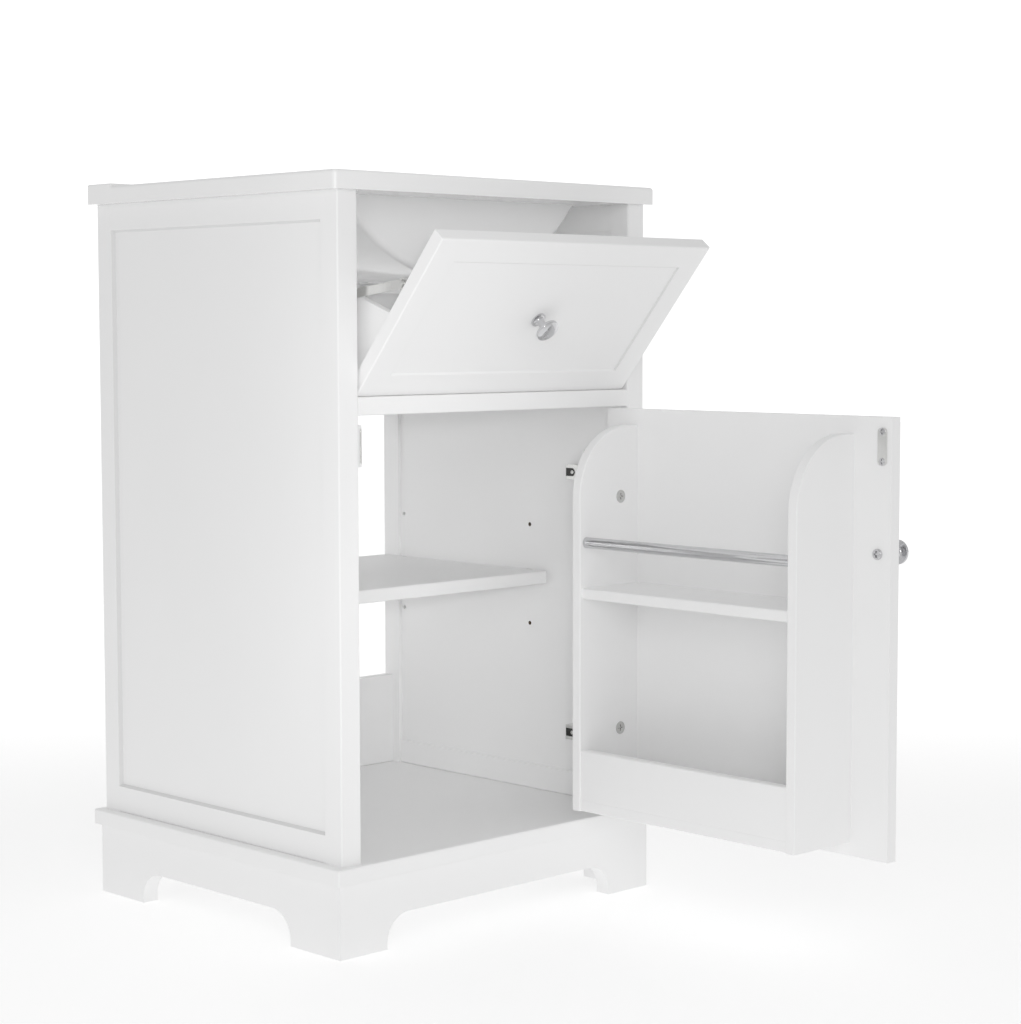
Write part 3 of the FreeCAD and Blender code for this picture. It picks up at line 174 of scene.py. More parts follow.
class VanityTrim(bpy.types.PropertyGroup):
    """Mouldings and small screws."""

    moulding_width: bpy.props.FloatProperty(
        name="Moulding", description="Bevelled strip round the recess of a side frame",
        default=2.6 * MM, min=0, unit="LENGTH")
    moulding_reveal: bpy.props.FloatProperty(
        name="Reveal", description="Frame's face to the edge of the strip",
        default=0.5 * MM, min=0, unit="LENGTH")
    small_screw: bpy.props.FloatProperty(
        name="Small screw", description="Head radius of a fitting's screw",
        default=3 * MM, min=0, unit="LENGTH")
    small_rise: bpy.props.FloatProperty(
        name="Small screw's rise", description="Height of a fitting screw's head",
        default=1.4 * MM, min=0, unit="LENGTH")
    strike_screw: bpy.props.FloatProperty(
        name="Strike screw", description="Head radius of a strike plate's screw",
        default=4.6 * MM, min=0, unit="LENGTH")
    flush_rise: bpy.props.FloatProperty(
        name="Flush screw's rise", description="How far a countersunk head stands out of its plate",
        default=0.2 * MM, min=0, unit="LENGTH")
    cup_pitch: bpy.props.FloatProperty(
        name="Cup screws", description="Between the two screws of a hinge cup",
        default=33 * MM, min=0, unit="LENGTH")
    arm_thick: bpy.props.FloatProperty(
        name="Hinge arm", description="Hinge arm, off its plate",
        default=12 * MM, min=0, unit="LENGTH")
    fixing_inset: bpy.props.FloatProperty(
        name="Fixing screw", description="Hinge arm's rear end to its fixing screw",
        default=11 * MM, min=0, unit="LENGTH")
    adjusting_inset: bpy.props.FloatProperty(
        name="Adjusting screw", description="Hinge arm's rear end to its adjusting screw",
        default=27 * MM, min=0, unit="LENGTH")
    arm_screw: bpy.props.FloatProperty(
        name="Arm screw", description="Head radius of a hinge arm's screws",
        default=2.4 * MM, min=0, unit="LENGTH")
    slot_width: bpy.props.FloatProperty(
        name="Arm's slot", description="Width of the slot round a hinge arm's fixing screw",
        default=10 * MM, min=0, unit="LENGTH")
    slot_depth: bpy.props.FloatProperty(
        name="Arm's slot, cut", description="Depth of that slot in the solid",
        default=2.5 * MM, min=0, unit="LENGTH")
    # The almost black steel on the slot's floor and walls is painted shadow of the gap in the arm.
    slot_floor: bpy.props.FloatProperty(
        name="Arm's slot, floor", description="Depth at which dark steel shows in that slot",
        default=0.7 * MM, min=0, unit="LENGTH")
    bracket_thick: bpy.props.FloatProperty(
        name="Stay bracket", description="Thickness of a stay's bracket",
        default=2 * MM, min=0, unit="LENGTH")
    bracket_inset: bpy.props.FloatProperty(
        name="Bracket screws", description="Bracket's edges to its screws",
        default=7 * MM, min=0, unit="LENGTH")
    catch_pitch: bpy.props.FloatProperty(
        name="Catch screws", description="Between the two screws of the catch",
        default=30 * MM, min=0, unit="LENGTH")


class VanityStage(bpy.types.PropertyGroup):
    """Camera, floor and lights."""

    eye: bpy.props.FloatVectorProperty(
        name="Camera", description="Where the camera stands", subtype="TRANSLATION", unit="LENGTH",
        default=(-1.83568, -1.91557, 0.68190))
    heading: bpy.props.FloatProperty(
        name="Heading", description="Camera's heading from +Y towards +X", subtype="ANGLE",
        default=math.radians(44.348))
    dip: bpy.props.FloatProperty(
        name="Dip", description="Camera's tilt below the horizon", subtype="ANGLE",
        default=math.radians(4.5166))
    roll: bpy.props.FloatProperty(
        name="Roll", description="Camera's turn about its own axis", subtype="ANGLE",
        default=math.radians(-0.097))
    lens: bpy.props.FloatProperty(
        name="Focal length", description="Lens on a full-frame sensor", subtype="DISTANCE_CAMERA",
        default=81.62)
    lift: bpy.props.FloatProperty(
        name="Lift", description="Gamma that lifts the shaded insides, as in a catalogue picture",
        default=1.2, min=0.5, max=2)
    floor_width: bpy.props.FloatProperty(
        name="Floor", description="Width of the studio floor", default=24, unit="LENGTH")
    floor_glow: bpy.props.FloatProperty(
        name="Floor glow", description="Light that comes up through the floor", default=0.36, min=0)
    far_glow: bpy.props.FloatProperty(
        name="Far floor's glow", description="Light the floor gives off far behind the unit",
        default=0.6, min=0)
    backdrop: bpy.props.FloatProperty(
        name="Backdrop", description="Brightness of the studio behind the unit", default=1.2, min=0)
    room: bpy.props.FloatProperty(
        name="Room", description="Brightness of the rest of the studio", default=0.54, min=0)
    fill_spot: bpy.props.FloatVectorProperty(
        name="Fill light's place", description="Where the wide soft light stands", subtype="TRANSLATION",
        unit="LENGTH", default=(-1.75, -1.85, 1.05))
    fill_width: bpy.props.FloatProperty(
        name="Fill light's width", description="Side of the wide soft light", default=1.2, unit="LENGTH")
    fill_power: bpy.props.FloatProperty(
        name="Fill light", description="Wide soft light above the camera", default=11.6, min=0,
        unit="POWER")
    back_spot: bpy.props.FloatVectorProperty(
        name="Back lamps' place", description="Where the lamps for the open back stand, on plan",
        size=2, subtype="TRANSLATION", unit="LENGTH", default=(1.2, 1.65))
    back_beam: bpy.props.FloatProperty(
        name="Back lamps' beam", description="Angle of a beam, which stays inside the open back",
        subtype="ANGLE", default=math.radians(4))
    back_power: bpy.props.FloatProperty(
        name="Back lamps", description="Each lamp that lights the far inside wall through the open back",
        default=450, min=0, unit="POWER")
    snoot_spot: bpy.props.FloatVectorProperty(
        name="Snooted lamps' place", description="Where the lamps for the insides stand",
        subtype="TRANSLATION", unit="LENGTH", default=(-1.78, -1.95, 0.78))
    snoot_beam: bpy.props.FloatProperty(
        name="Snooted lamps' beam", description="Angle of a snooted lamp's beam", subtype="ANGLE",
        default=math.radians(10))
    snoot_power: bpy.props.FloatVectorProperty(
        name="Snooted lamps", description="Lamps for the bowl's bay, above the shelf and below it",
        default=(42, 45, 50), min=0, unit="POWER")


def add_node(tree, kind, settings=None, inputs=None):
    """Add a node. Settings are its properties; inputs are values, or sockets to link from."""
    node = tree.nodes.new(kind)
    for name, value in (settings or {}).items():
        setattr(node, name, value)
    for name, value in (inputs or {}).items():
        if isinstance(value, bpy.types.NodeSocket):
            tree.links.new(value, node.inputs[name])
        else:
            node.inputs[name].default_value = value
    return node


def per(size):
    """Texture scale of a pattern whose features are this many millimetres apart."""
    return 1 / (size * MM)


def start_material(name):
    """A new material's tree and its Object coordinates."""
    material = bpy.data.materials.new(name)
    material.use_nodes = True
    tree = material.node_tree
    tree.nodes.clear()
    spot = add_node(tree, "ShaderNodeTexCoord").outputs["Object"]
    return material, tree, spot


def end_material(tree, shader):
    """Give a material its finished shader."""
    add_node(tree, "ShaderNodeOutputMaterial", inputs={"Surface": shader.outputs["BSDF"]})


def shade(colour, factor):
    """A colour made lighter or darker, with full alpha."""
    return (*(min(1, c * factor) for c in colour[:3]), 1)


def sprayed_paint(colour):
    """Satin polyurethane paint sprayed on sanded board: an even white, a faint pebble from the
    spray that breaks up the highlights, and a slow drift in gloss from coat to coat."""
    material, tree, spot = start_material("sprayed_satin_paint")
    drift = add_node(tree, "ShaderNodeTexNoise", inputs={"Vector": spot, "Scale": per(140), "Detail": 3})
    tint = add_node(tree, "ShaderNodeMix", {"data_type": "RGBA"}, {
        "Factor": drift.outputs["Fac"], "A": shade(colour, 0.985), "B": shade(colour, 1.015)})
    gloss = add_node(tree, "ShaderNodeTexNoise", inputs={"Vector": spot, "Scale": per(25), "Detail": 4})
    rough = add_node(tree, "ShaderNodeMapRange", inputs={
        "Value": gloss.outputs["Fac"], "To Min": 0.44, "To Max": 0.56})
    # Real spray pebble is about 1 mm, too fine to show, so it is drawn at 2.2 mm
    pebble = add_node(tree, "ShaderNodeTexNoise", inputs={
        "Vector": spot, "Scale": per(2.2), "Detail": 1})
    bump = add_node(tree, "ShaderNodeBump", inputs={
        "Height": pebble.outputs["Fac"], "Strength": 0.1, "Distance": 0.2 * MM})
    shader = add_node(tree, "ShaderNodeBsdfPrincipled", inputs={
        "Base Color": tint.outputs["Result"], "Roughness": rough.outputs["Result"],
        "Normal": bump.outputs["Normal"], "IOR": 1.48, "Specular IOR Level": 0.3})
    end_material(tree, shader)
    return material


def painted_shade_paint(colour):
    """The same paint a shade darker, as painted shade on the small slopes round a panel and on the side mouldings,
    so that the panel's outline is drawn as a thin line."""
    material = sprayed_paint(shade(colour, 0.82))
    material.name = "sprayed_satin_paint_thin"
    return material


def glazed_ceramic(colour):
    """Vitreous china, cast and glazed: deep clear gloss over white clay, with the slow ripple
    that a poured glaze keeps and a little more colour where it pools."""
    material, tree, spot = start_material("glazed_vitreous_china")
    pool = add_node(tree, "ShaderNodeTexNoise", inputs={"Vector": spot, "Scale": per(90), "Detail": 2})
    tint = add_node(tree, "ShaderNodeMix", {"data_type": "RGBA"}, {
        "Factor": pool.outputs["Fac"], "A": shade(colour, 0.985), "B": shade(colour, 1.01)})
    ripple = add_node(tree, "ShaderNodeTexNoise", inputs={"Vector": spot, "Scale": per(22), "Detail": 1})
    bump = add_node(tree, "ShaderNodeBump", inputs={
        "Height": ripple.outputs["Fac"], "Strength": 0.1, "Distance": 0.5 * MM})
    rough = add_node(tree, "ShaderNodeMapRange", inputs={
        "Value": pool.outputs["Fac"], "To Min": 0.07, "To Max": 0.14})
    shader = add_node(tree, "ShaderNodeBsdfPrincipled", inputs={
        "Base Color": tint.outputs["Result"], "Roughness": rough.outputs["Result"],
        "Normal": bump.outputs["Normal"], "IOR": 1.52, "Coat Weight": 0.15, "Coat Roughness": 0.04})
    end_material(tree, shader)
    return material


def polished_chrome(colour):
    """Chrome plate buffed on zinc or steel: a dark, near-perfect mirror with hair-fine polishing
    marks and the odd dulled patch."""
    material, tree, spot = start_material("polished_chrome_plate")
    smear = add_node(tree, "ShaderNodeTexNoise", inputs={"Vector": spot, "Scale": per(6), "Detail": 3})
    rough = add_node(tree, "ShaderNodeMapRange", inputs={
        "Value": smear.outputs["Fac"], "To Min": 0.05, "To Max": 0.13})
    marks = add_node(tree, "ShaderNodeTexNoise", inputs={"Vector": spot, "Scale": per(0.5), "Detail": 2})
    bump = add_node(tree, "ShaderNodeBump", inputs={
        "Height": marks.outputs["Fac"], "Strength": 0.04, "Distance": 0.05 * MM})
    tint = add_node(tree, "ShaderNodeMix", {"data_type": "RGBA"}, {
        "Factor": smear.outputs["Fac"], "A": shade(colour, 0.95), "B": shade(colour, 1.05)})
    shader = add_node(tree, "ShaderNodeBsdfPrincipled", inputs={
        "Base Color": tint.outputs["Result"], "Metallic": 1.0, "Roughness": rough.outputs["Result"],
        "Normal": bump.outputs["Normal"]})
    end_material(tree, shader)
    return material


def nickel_steel(colour):
    """Pressed steel, barrel-plated with nickel: a grey metal with soft reflections and the fine
    random scuffs of tumbling."""
    material, tree, spot = start_material("nickel_plated_steel")
    tumble = add_node(tree, "ShaderNodeTexNoise", inputs={
        "Vector": spot, "Scale": per(2.5), "Detail": 3})
    rough = add_node(tree, "ShaderNodeMapRange", inputs={
        "Value": tumble.outputs["Fac"], "To Min": 0.2, "To Max": 0.3})
    tint = add_node(tree, "ShaderNodeMix", {"data_type": "RGBA"}, {
        "Factor": tumble.outputs["Fac"], "A": shade(colour, 0.96), "B": shade(colour, 1.04)})
    bump = add_node(tree, "ShaderNodeBump", inputs={
        "Height": tumble.outputs["Fac"], "Strength": 0.05, "Distance": 0.04 * MM})
    shader = add_node(tree, "ShaderNodeBsdfPrincipled", inputs={
        "Base Color": tint.outputs["Result"], "Metallic": 1.0, "Roughness": rough.outputs["Result"],
        "Normal": bump.outputs["Normal"]})
    end_material(tree, shader)
    return material


def zinc_alloy(colour):
    """Zinc alloy, cast and passivated: a dull grey metal, a little cloudy."""
    material = nickel_steel(shade(colour, 0.75))
    material.name = "cast_zinc_alloy"
    return material


def phosphated_steel(colour):
    """Almost black steel with a dull sheen, as painted shadow inside the slots of the hinge arms."""
    material = nickel_steel(shade(colour, 0.06))
    material.name = "phosphated_steel"
    return material


def bare_chipboard(colour):
    """Chipboard where a drill has gone through the paint: brown chips a millimetre or two across, drawn far darker
    than the board is as painted shade in the hole, so that it looks like a dark dot from a distance."""
    material, tree, spot = start_material("bare_chipboard")
    chips = add_node(tree, "ShaderNodeTexVoronoi", inputs={"Vector": spot, "Scale": per(1.5)})
    tint = add_node(tree, "ShaderNodeMix", {"data_type": "RGBA"}, {
        "Factor": chips.outputs["Distance"], "A": shade(colour, 1), "B": shade(colour, 2.35)})
    shader = add_node(tree, "ShaderNodeBsdfPrincipled", inputs={
        "Base Color": tint.outputs["Result"], "Roughness": 0.9})
    end_material(tree, shader)
    return material


def moulded_plastic(colour):
    """White ABS, injection moulded in a spark-eroded tool: a fine even grain and a soft sheen."""
    material, tree, spot = start_material("moulded_white_abs")
    grain = add_node(tree, "ShaderNodeTexNoise", inputs={"Vector": spot, "Scale": per(0.7), "Detail": 2})
    bump = add_node(tree, "ShaderNodeBump", inputs={
        "Height": grain.outputs["Fac"], "Strength": 0.25, "Distance": 0.06 * MM})
    rough = add_node(tree, "ShaderNodeMapRange", inputs={
        "Value": grain.outputs["Fac"], "To Min": 0.42, "To Max": 0.56})
    tint = add_node(tree, "ShaderNodeMix", {"data_type": "RGBA"}, {
        "Factor": grain.outputs["Fac"], "A": shade(colour, 0.97), "B": shade(colour, 1.02)})
    shader = add_node(tree, "ShaderNodeBsdfPrincipled", inputs={
        "Base Color": tint.outputs["Result"], "Roughness": rough.outputs["Result"],
        "Normal": bump.outputs["Normal"], "IOR": 1.54})
    end_material(tree, shader)
    return material


def light_table(stage, forward):
    """Opal acrylic sheet lit from below: an even white floor that hardly takes a shadow. The
    glow fades out in front of the unit, so that its faces aren't lit from the floor, and grows
    far behind it, where the floor meets the backdrop."""
    material, tree, spot = start_material("opal_acrylic_light_table")
    cloud = add_node(tree, "ShaderNodeTexNoise", inputs={"Vector": spot, "Scale": per(60), "Detail": 2})
    ahead = add_node(tree, "ShaderNodeVectorMath", {"operation": "DOT_PRODUCT"}, {0: spot, 1: forward})
    near = add_node(tree, "ShaderNodeMapRange", {"interpolation_type": "SMOOTHSTEP"}, {
        "Value": ahead.outputs["Value"], "From Min": GLOW_STARTS[0], "From Max": GLOW_STARTS[1],
        "To Max": stage.floor_glow})
    glow = add_node(tree, "ShaderNodeMapRange", {"interpolation_type": "SMOOTHSTEP"}, {
        "Value": ahead.outputs["Value"], "From Min": GLOW_TURNS[0], "From Max": GLOW_TURNS[1],
        "To Min": near.outputs["Result"], "To Max": stage.far_glow})
    white = linear("#F5F5F5")
    tint = add_node(tree, "ShaderNodeMix", {"data_type": "RGBA"}, {
        "Factor": cloud.outputs["Fac"], "A": shade(white, 0.995), "B": shade(white, 1.005)})
    shader = add_node(tree, "ShaderNodeBsdfPrincipled", inputs={
        "Base Color": tint.outputs["Result"], "Roughness": 0.9, "Emission Color": (1, 1, 1, 1),
        "Emission Strength": glow.outputs["Result"]})
    end_material(tree, shader)
    return material


MAKERS = {
    "white_paint": (sprayed_paint, "paint"),
    "glazed_ceramic": (glazed_ceramic, "glaze"),
    "polished_chrome": (polished_chrome, "plating"),
    "nickel_steel": (nickel_steel, "nickel"),
    "white_plastic": (moulded_plastic, "paint"),
    # Darker paint, as painted shade on panel slopes and side mouldings
    "painted_shade_paint": (painted_shade_paint, "paint"),
    "zinc_alloy": (zinc_alloy, "nickel"),
    # Almost black steel, as painted shadow in the hinge arms' slots
    "phosphated_steel": (phosphated_steel, "nickel"),
    # Bare board drawn dark, partly as painted shade in drilled holes
    "bare_chipboard": (bare_chipboard, "chips"),
}
made_materials = {}


def material_for(slot):
    """The material of one of the record's slots, or of a finish of its own, made when first wanted."""
    if slot not in made_materials:
        make, colour = MAKERS[slot]
        made_materials[slot] = make(getattr(bpy.context.scene.vanity_finish, colour))
    return made_materials[slot]


def nodes_named(*starts):
    """CAD nodes whose names start with one of these."""
    return [node for node in SLOT_OF if node.startswith(starts)]


def painted_nodes(body):
    """The painted boards of one body."""
    return [node for node, slot in SLOT_OF.items() if slot == "white_paint" and BODY_OF[node] == body]


def merged_copy(node):
    """A CAD node's solids with their loose triangles joined into whole flat faces."""
    bm = bmesh.new()
    bm.from_mesh(frame["nodes"][node].data)
    bmesh.ops.remove_doubles(bm, verts=bm.verts, dist=WELD)
    bmesh.ops.dissolve_limit(bm, angle_limit=FLAT, verts=bm.verts, edges=bm.edges)
    return bm


def box_of(points):
    """Lowest and highest corners of some points."""
    points = list(points)
    low = Vector(min(p[axis] for p in points) for axis in range(3))
    high = Vector(max(p[axis] for p in points) for axis in range(3))
    return low, high


def shut_boxes(node):
    """The box of each of a node's solids, in the frame that its body's pieces are drawn in."""
    bm = merged_copy(node)
    bm.transform(FRAMES[BODY_OF[node]].inverted())
    waiting = set(bm.verts)
    boxes = []
    while waiting:
        found = [waiting.pop()]
        for vert in found:
            linked = {edge.other_vert(vert) for edge in vert.link_edges} & waiting
            waiting -= linked
            found.extend(linked)
        boxes.append(box_of(vert.co for vert in found))
    bm.free()
    return sorted(boxes, key=lambda box: box[0][:])


def soften(bm, width):
    """Round every crease of a mesh."""
    creases = [e for e in bm.edges if e.is_manifold and e.calc_face_angle() > CREASE]
    bmesh.ops.bevel(bm, geom=creases, offset=width, offset_type="OFFSET", affect="EDGES",
                    segments=EDGE_STEPS, profile=0.5, material=-1, clamp_overlap=True)


def add_piece(name, bm, body, slot, stands_for=()):
    """Make an object of a finished mesh, with its material, and let it ride on a body."""
    mesh = bpy.data.meshes.new(name)
    bm.to_mesh(mesh)
    bm.free()
    mesh.shade_smooth()
    mesh.set_sharp_from_angle(angle=CREASE)
    mesh.materials.append(material_for(slot))
    piece = bpy.data.objects.new(name, mesh)
    bpy.context.scene.collection.objects.link(piece)
    shading = piece.modifiers.new("even_shading", "WEIGHTED_NORMAL")
    shading.keep_sharp = True
    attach(piece, body)
    if stands_for:
        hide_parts(*stands_for)
    return piece


def paint_faces(piece, finish, wanted):
    """Give the faces of a piece that pass a test a finish of their own."""
    piece.data.materials.append(material_for(finish))
    for face in piece.data.polygons:
        if wanted(face):
            face.material_index = 1


def inside_face(node):
    """Where the inner face of a side board stands along X."""
    low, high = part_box(node)
    return low[0] if high[0] > 0 else high[0]


def cut_quirks(bm, node, width):
    """Break the edges of a board that the unit shows as thin dark lines where boards meet."""
    if node.startswith("side_panel"):
        axis, place = 0, inside_face(node)
    else:
        axis, place = 2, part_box(node)[0][2]
    level = [e for e in bm.edges if all(abs(v.co[axis] - place) < LEVEL for v in e.verts)]
    long_edges = [e for e in level if e.calc_length() > QUIRK_RUN]
    bmesh.ops.bevel(bm, geom=long_edges, offset=width, offset_type="OFFSET", affect="EDGES",
                    segments=1, profile=0.5, material=-1, clamp_overlap=True)


def stand_in(node, bm, finish, width):
    """Soften a mesh and stand it in for a CAD node."""
    soften(bm, width)
    return add_piece(f"{finish}_{node}", bm, BODY_OF[node], SLOT_OF[node], [node])


def dress(nodes, finish, width):
    """Stand a softened, finished piece in for each CAD node. Returns the pieces by node."""
    pieces = {}
    for node in nodes:
        bm = merged_copy(node)
        if node.startswith(QUIRKED):
            cut_quirks(bm, node, bpy.context.scene.vanity_finish.quirk)
        pieces[node] = stand_in(node, bm, finish, width)
    return pieces


def pull(bm, edges, spread, fall):
    """Extrude a level ring of edges, scaled about the middle and lowered. Returns the new ring."""
    geometry = bmesh.ops.extrude_edge_only(bm, edges=edges)["geom"]
    verts = [item for item in geometry if isinstance(item, bmesh.types.BMVert)]
    bmesh.ops.scale(bm, vec=(spread, spread, 1), verts=verts)
    bmesh.ops.translate(bm, vec=(0, 0, -fall), verts=verts)
    return [item for item in geometry if isinstance(item, bmesh.types.BMEdge)]


def cross_outline(bm, reach):
    """A closed outline of a cross about the middle. Returns its edges."""
    verts = bmesh.ops.create_grid(bm, x_segments=3, y_segments=3, size=reach)["verts"]
    faces = [face for face in bm.faces if face.verts[0] in verts]
    corners = [f for f in faces if all(abs(c) > reach / 3 for c in f.calc_center_median().xy)]
    bmesh.ops.delete(bm, geom=corners, context="FACES")
    cross = bmesh.ops.dissolve_faces(bm, faces=[f for f in faces if f.is_valid])["region"]
    edges = list(cross[0].edges)
    bmesh.ops.delete(bm, geom=cross, context="FACES_ONLY")
    return edges


def add_cross_head(bm, seat, outward, radius, rise):
    """Add a round screw head with a cross recess. It stands on seat and faces outward."""
    before = set(bm.verts)
    cross = cross_outline(bm, CROSS_REACH * radius)
    wide, fallen = HEAD_SECTION[0]
    verts = bmesh.ops.create_circle(bm, segments=HEAD_SIDES, radius=wide * radius)["verts"]
    ring = [edge for edge in bm.edges if edge.verts[0] in verts]
    bmesh.ops.triangle_fill(bm, use_beauty=True, edges=cross + ring)
    for share, fall in HEAD_SECTION[1:]:
        ring = pull(bm, ring, share / wide, (fall - fallen) * rise)
        wide, fallen = share, fall
    bmesh.ops.edgeloop_fill(bm, edges=ring)
    bmesh.ops.edgeloop_fill(bm, edges=pull(bm, cross, CROSS_TAPER, CROSS_DEPTH * rise))
    fresh = [vert for vert in bm.verts if vert not in before]
    stand = Matrix.Translation(seat) @ outward.to_track_quat("Z", "Y").to_matrix().to_4x4()
    bmesh.ops.transform(bm, matrix=stand @ Matrix.Translation((0, 0, rise)), verts=fresh)
    bmesh.ops.recalc_face_normals(bm, faces=[face for face in bm.faces if face.verts[0] in fresh])


def add_screws(name, seats, radius, rise, body, slot, stands_for=()):
    """A group of like screw heads. Seats are places and ways out, in the body's own frame."""
    bm = bmesh.new()
    for seat, outward in seats:
        add_cross_head(bm, seat, outward, radius, rise)
    bm.transform(FRAMES[body])
    add_piece(name, bm, body, slot, stands_for)


def add_moulding(side, outward, trim):
    """A bevelled strip round the recess of a side frame, mitred at its corners."""
    low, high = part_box(f"side_panel_{side}")
    edge = 1 if outward > 0 else 0
    panel_face = (low, high)[edge][0]
    frame_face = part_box(f"side_top_rail_{side}")[edge][0]
    bm = bmesh.new()
    bmesh.ops.create_grid(bm, x_segments=1, y_segments=1, size=0.5)
    spread = Matrix.Diagonal((high[1] - low[1], high[2] - low[2], 1, 1))
    upright = Matrix(((0, 0, 1, panel_face), (1, 0, 0, (low[1] + high[1]) / 2),
                      (0, 1, 0, (low[2] + high[2]) / 2), (0, 0, 0, 1)))
    bm.transform(upright @ spread)
    bm.normal_update()
    corners = [vert.co.copy() for vert in bm.verts]
    field = bmesh.ops.inset_region(bm, faces=list(bm.faces), thickness=trim.moulding_width,
                                   use_even_offset=True, use_boundary=True)["faces"]
    bmesh.ops.delete(bm, geom=[face for face in bm.faces if face not in field], context="FACES")
    outer = [vert for vert in bm.verts if any((vert.co - c).length < LEVEL for c in corners)]
    lift = Vector((frame_face - panel_face - outward * trim.moulding_reveal, 0, 0))
    bmesh.ops.translate(bm, vec=lift, verts=outer)
    outline = [edge for edge in bm.edges if all(vert in outer for vert in edge.verts)]
    inner = [edge for edge in bm.edges if edge.is_boundary and edge not in outline]
    geometry = bmesh.ops.extrude_edge_only(bm, edges=outline)["geom"]
    foot = [item for item in geometry if isinstance(item, bmesh.types.BMVert)]
    bmesh.ops.translate(bm, vec=-lift, verts=foot)
    rear = [item for item in geometry if isinstance(item, bmesh.types.BMEdge)]
    bmesh.ops.bridge_loops(bm, edges=rear + inner)
    bmesh.ops.recalc_face_normals(bm, faces=list(bm.faces))
    strip = add_piece(f"moulding_{side}", bm, "cabinet", "white_paint")
    # The strip takes the darker paint: painted shade along the recess's edges.
    strip.data.materials[0] = material_for("painted_shade_paint")


def bare_and_shaded_holes(node, piece):
    """Show bare board, drawn dark as painted shade, in the holes drilled in the inside of a side panel."""
    low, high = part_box(node)
    inside = inside_face(node)

    def drilled(face):
        within = all(low[i] + PANEL_INSET < face.center[i] < high[i] - PANEL_INSET for i in (1, 2))
        depth = abs(face.center.x - inside)
        return within and PAINTED_RIM < depth < high[0] - low[0] - PAINTED_RIM

    paint_faces(piece, "bare_chipboard", drilled)


class VANITY_OT_carcass(bpy.types.Operator):
    """Paint the posts, rails, panels, shelf and plinth, with their edges sanded"""

    bl_idname = "vanity.carcass"
    bl_label = "Carcass"

    def execute(self, context):
        pieces = dress(painted_nodes("cabinet"), "painted", context.scene.vanity_finish.board_edge)
        for node in nodes_named("side_panel"):
            # The holes show bare board drawn dark, partly as painted shade.
            bare_and_shaded_holes(node, pieces[node])
        return {"FINISHED"}


class VANITY_OT_mouldings(bpy.types.Operator):
    """Fit a bevelled strip round the recess of each side frame"""

    bl_idname = "vanity.mouldings"
    bl_label = "Side Mouldings"

    def execute(self, context):
        for side, outward in (("left", -1), ("right", 1)):
            add_moulding(side, outward, context.scene.vanity_trim)
        return {"FINISHED"}


class VANITY_OT_sink(bpy.types.Operator):
    """Glaze the sink top"""

    bl_idname = "vanity.sink"
    bl_label = "Sink Top"

    def execute(self, context):
        dress(["sink_top"], "glazed", context.scene.vanity_finish.ceramic_edge)
        return {"FINISHED"}


def paint_shade_on_slopes(node, piece):
    """Paint shade on the slopes of a board's routed panel with the darker paint, apart from those that face up."""
    shut = FRAMES[BODY_OF[node]].inverted()
    low, high = shut_boxes(node)[0]

    def sloped(face):
        spot = shut @ face.center
        normal = shut.to_3x3() @ face.normal
        within = all(low[i] + PANEL_INSET < spot[i] < high[i] - PANEL_INSET for i in (0, 2))
        return within and SLOPE_OUT[0] < normal.y < SLOPE_OUT[1] and normal.z < SLOPE_UP

    paint_faces(piece, "painted_shade_paint", sloped)


class VANITY_OT_flap(bpy.types.Operator):
    """Paint the tilt-out flap and its tray"""

    bl_idname = "vanity.flap"
    bl_label = "Flap and Tray"

    def execute(self, context):
        pieces = dress(painted_nodes("flap"), "painted", context.scene.vanity_finish.board_edge)
        # The slopes of the routed panel that don't face up get painted shade.
        paint_shade_on_slopes("flap_board", pieces["flap_board"])
        return {"FINISHED"}


class VANITY_OT_door(bpy.types.Operator):
    """Paint the door and its rack, and fit the rack's bar and cam locks"""

    bl_idname = "vanity.door"
    bl_label = "Door and Rack"

    def execute(self, context):
        finish = context.scene.vanity_finish
        pieces = dress(painted_nodes("door"), "painted", finish.board_edge)
        # The slopes of the routed panel that don't face up get painted shade.
        paint_shade_on_slopes("door_board", pieces["door_board"])
        dress(["rack_bar"], "chromed", finish.metal_edge)
        locks = dress(["rack_cam_locks"], "plated", finish.metal_edge)["rack_cam_locks"]
        locks.data.materials[0] = material_for("zinc_alloy")
        return {"FINISHED"}


class VANITY_OT_knobs(bpy.types.Operator):
    """Plate the two knobs and the screws that hold them from inside"""

    bl_idname = "vanity.knobs"
    bl_label = "Knobs"

    def execute(self, context):
        dress(["door_knob", "flap_knob"], "chromed", context.scene.vanity_finish.metal_edge)
        for body in ("door", "flap"):
            node = f"{body}_knob_screw"
            low, high = shut_boxes(node)[0]
            inside = shut_boxes(f"{body}_board")[0][1].y
            seat = Vector(((low.x + high.x) / 2, inside, (low.z + high.z) / 2))
            add_screws(f"cross_head_{node}", [(seat, BACKWARDS)], (high.x - low.x) / 2, high.y - inside,
                       body, SLOT_OF[node], [node])
        return {"FINISHED"}


def widen_slot(bm, fixing, trim):
    """Widen the open slot of a hinge arm about its fixing screw, and bring its floor forward."""
    reach = trim.slot_width / 2
    inner = fixing.x + trim.slot_depth + LEVEL
    near = [v for v in bm.verts if v.co.x < inner and v.co.y > fixing.y - reach]
    near = [vert for vert in near if abs(vert.co.z - fixing.z) < reach]
    front = [vert for vert in near if vert.co.y < fixing.y]
    spread = reach / max(abs(vert.co.z - fixing.z) for vert in near)
    about = Matrix.Translation(-fixing)
    bmesh.ops.scale(bm, vec=(1, 1, spread), space=about, verts=near)
    bmesh.ops.scale(bm, vec=(1, spread, 1), space=about, verts=front)
    floor = [vert for vert in near if vert.co.x > fixing.x + trim.slot_depth / 2]
    bmesh.ops.translate(bm, vec=LEFTWARDS * (trim.slot_depth - trim.slot_floor), verts=floor)


